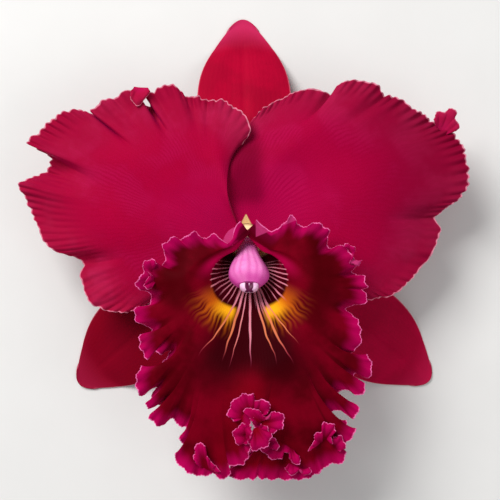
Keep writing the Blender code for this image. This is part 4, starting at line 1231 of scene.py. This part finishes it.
def build_column():
    table = np.array(COLUMN_SECTIONS)
    angles = np.linspace(0, 2 * math.pi, COLUMN_SIDES, endpoint=False)
    shares = np.linspace(0.0, 1.0, COLUMN_STEPS)
    rings = []
    for share in shares:
        half_width, half_height = through(table[:, 0], table[:, 1:], share) * MM
        _, down = column_frame(share)
        middle = COLUMN_BASE + (COLUMN_TIP - COLUMN_BASE) * share
        ridge = 1 + RIDGE_HEIGHT * np.cos(COLUMN_RIDGES * angles) * ease(0.2, 0.5, share)
        rings.append(middle + np.outer(half_width * ridge * np.cos(angles), SIDEWAYS)
                     + np.outer(half_height * ridge * np.sin(angles), down))
    points, faces = round_body(rings)
    marks = {
        "around": np.tile(np.mod(-angles / (2 * math.pi), 1.0), COLUMN_STEPS),
        "up_column": np.repeat(shares, COLUMN_SIDES),
    }
    make_piece("column_body", points, faces, marks, column_finish(), "column")


build_column()

# Anther cap
# A small loose cap that covers the pollen at the column's tip. Waxy, white to pale pink, with
# two lobes and a dark purple pit between them.

ANTHER_GAP = 0.3 * MM
ANTHER_RADII = (3.4 * MM, 2.0 * MM, 2.6 * MM)
ANTHER_STEPS = 24
ANTHER_SIDES = 48
PIT_RADII = (1.9 * MM, 1.4 * MM)
PIT_RISE = 0.7 * MM
ANTHER_WHITE = (0.9, 0.6, 0.78, 1)
ANTHER_PINK = (0.8, 0.4, 0.65, 1)
ANTHER_PIT = (0.09, 0.001, 0.035, 1)


def anther_finish():
    material, tree, shader = new_finish("anther wax", 0.45, 0.25)
    skin = place_effect(tree, plant_skin, {"Cell size": 0.2, "Patch size": 1.5})
    colour = paint(tree, skin["Mottle"], ANTHER_WHITE, ANTHER_PINK)
    colour = paint(tree, fade(tree, read(tree, "from_pit"), 1.0, 0.75), colour, ANTHER_PIT)
    dress(tree, shader, colour, skin["Relief"], 0.05 * MM, 0.4)
    return material


def build_anther():
    axis, down = column_frame(1.0)
    start = COLUMN_TIP + axis * ANTHER_GAP
    angles = np.linspace(0, 2 * math.pi, ANTHER_SIDES, endpoint=False)
    square = (np.abs(np.cos(angles)) ** 3 + np.abs(np.sin(angles)) ** 3) ** (-1 / 3)
    lobes = 1 - 0.2 * np.exp(-((np.cos(angles) / 0.3) ** 2))
    rings, from_pit = [], []
    for share in np.sin(np.linspace(0.0, 0.485 * math.pi, ANTHER_STEPS)):
        shrink = math.sqrt(1 - share**2)
        x = ANTHER_RADII[0] * shrink * np.cos(angles) * square
        y = ANTHER_RADII[1] * shrink * np.sin(angles) * square * lobes
        rings.append(start + axis * ANTHER_RADII[2] * share
                     + np.outer(x, SIDEWAYS) + np.outer(y, down))
        star = 1 + 0.35 * np.cos(4 * np.arctan2(y + PIT_RISE, x) + math.pi)
        from_pit.append(np.hypot(x / PIT_RADII[0], (y + PIT_RISE) / PIT_RADII[1]) / star)
    points, faces = round_body(rings)
    marks = {"from_pit": np.concatenate(from_pit)}
    make_piece("anther_lobes", points, faces, marks, anther_finish(), "anther_cap")


build_anther()

# Table top, light and camera
# A pale matt table top, a broad soft light from above the dorsal sepal, a weaker one from the
# lower right, and a camera straight above the flower at arm's length.

FLOOR_HALF_SIZE = 4.0
TABLE_COLOURS = ((0.72, 0.71, 0.69, 1), (0.76, 0.75, 0.73, 1))
# Lights: the place in metres that each shines from, its power in watts and its size
LIGHTS = {
    "key_light": ((-0.5, 0.6, 0.85), 14.0, 0.6),
    "fill_light": ((0.7, -0.4, 0.7), 2.5, 0.8),
}
SKY_COLOUR = (0.95, 0.97, 1.0, 1)
SKY_STRENGTH = 0.38
CAMERA_SPOT = Vector((1.1 * MM, -3.75 * MM, 476.0 * MM))
CAMERA_SENSOR = 36.0
CAMERA_LENS = 86.4


def build_stage():
    floor_mesh = bpy.data.meshes.new("table_top")
    reach = FLOOR_HALF_SIZE
    floor_mesh.from_pydata(
        [(-reach, -reach, 0), (reach, -reach, 0), (reach, reach, 0), (-reach, reach, 0)], [],
        [(0, 1, 2, 3)],
    )
    material, tree, shader = new_finish("pale table top", 0.7, 0.2)
    grain = clouds(tree, 40.0, 4.0)
    tree.links.new(paint(tree, grain, *TABLE_COLOURS), shader.inputs["Base Color"])
    floor_mesh.materials.append(material)
    floor = bpy.data.objects.new("table_top", floor_mesh)
    bpy.context.scene.collection.objects.link(floor)


def soft_light(name, spot, energy, size):
    """A square light that shines from its spot at the middle of the table top."""
    lamp = bpy.data.lights.new(name, "AREA")
    lamp.energy = energy
    lamp.size = size
    light = bpy.data.objects.new(name, lamp)
    light.location = spot
    light.rotation_mode = "QUATERNION"
    light.rotation_quaternion = (-Vector(spot)).to_track_quat("-Z", "Y")
    bpy.context.scene.collection.objects.link(light)


build_stage()
for name, (spot, energy, size) in LIGHTS.items():
    soft_light(name, spot, energy, size)

scene = bpy.context.scene
scene.world = bpy.data.worlds.new("soft_sky")
scene.world.use_nodes = True
sky = scene.world.node_tree.nodes["Background"]
sky.inputs["Color"].default_value = SKY_COLOUR
sky.inputs["Strength"].default_value = SKY_STRENGTH
scene.view_settings.view_transform = "Standard"

camera = bpy.data.objects.new("camera", bpy.data.cameras.new("camera"))
camera.data.sensor_width = CAMERA_SENSOR
camera.data.lens = CAMERA_LENS
camera.location = FLOWER_AXIS + CAMERA_SPOT
scene.collection.objects.link(camera)
scene.camera = camera

bpy.context.view_layer.update()
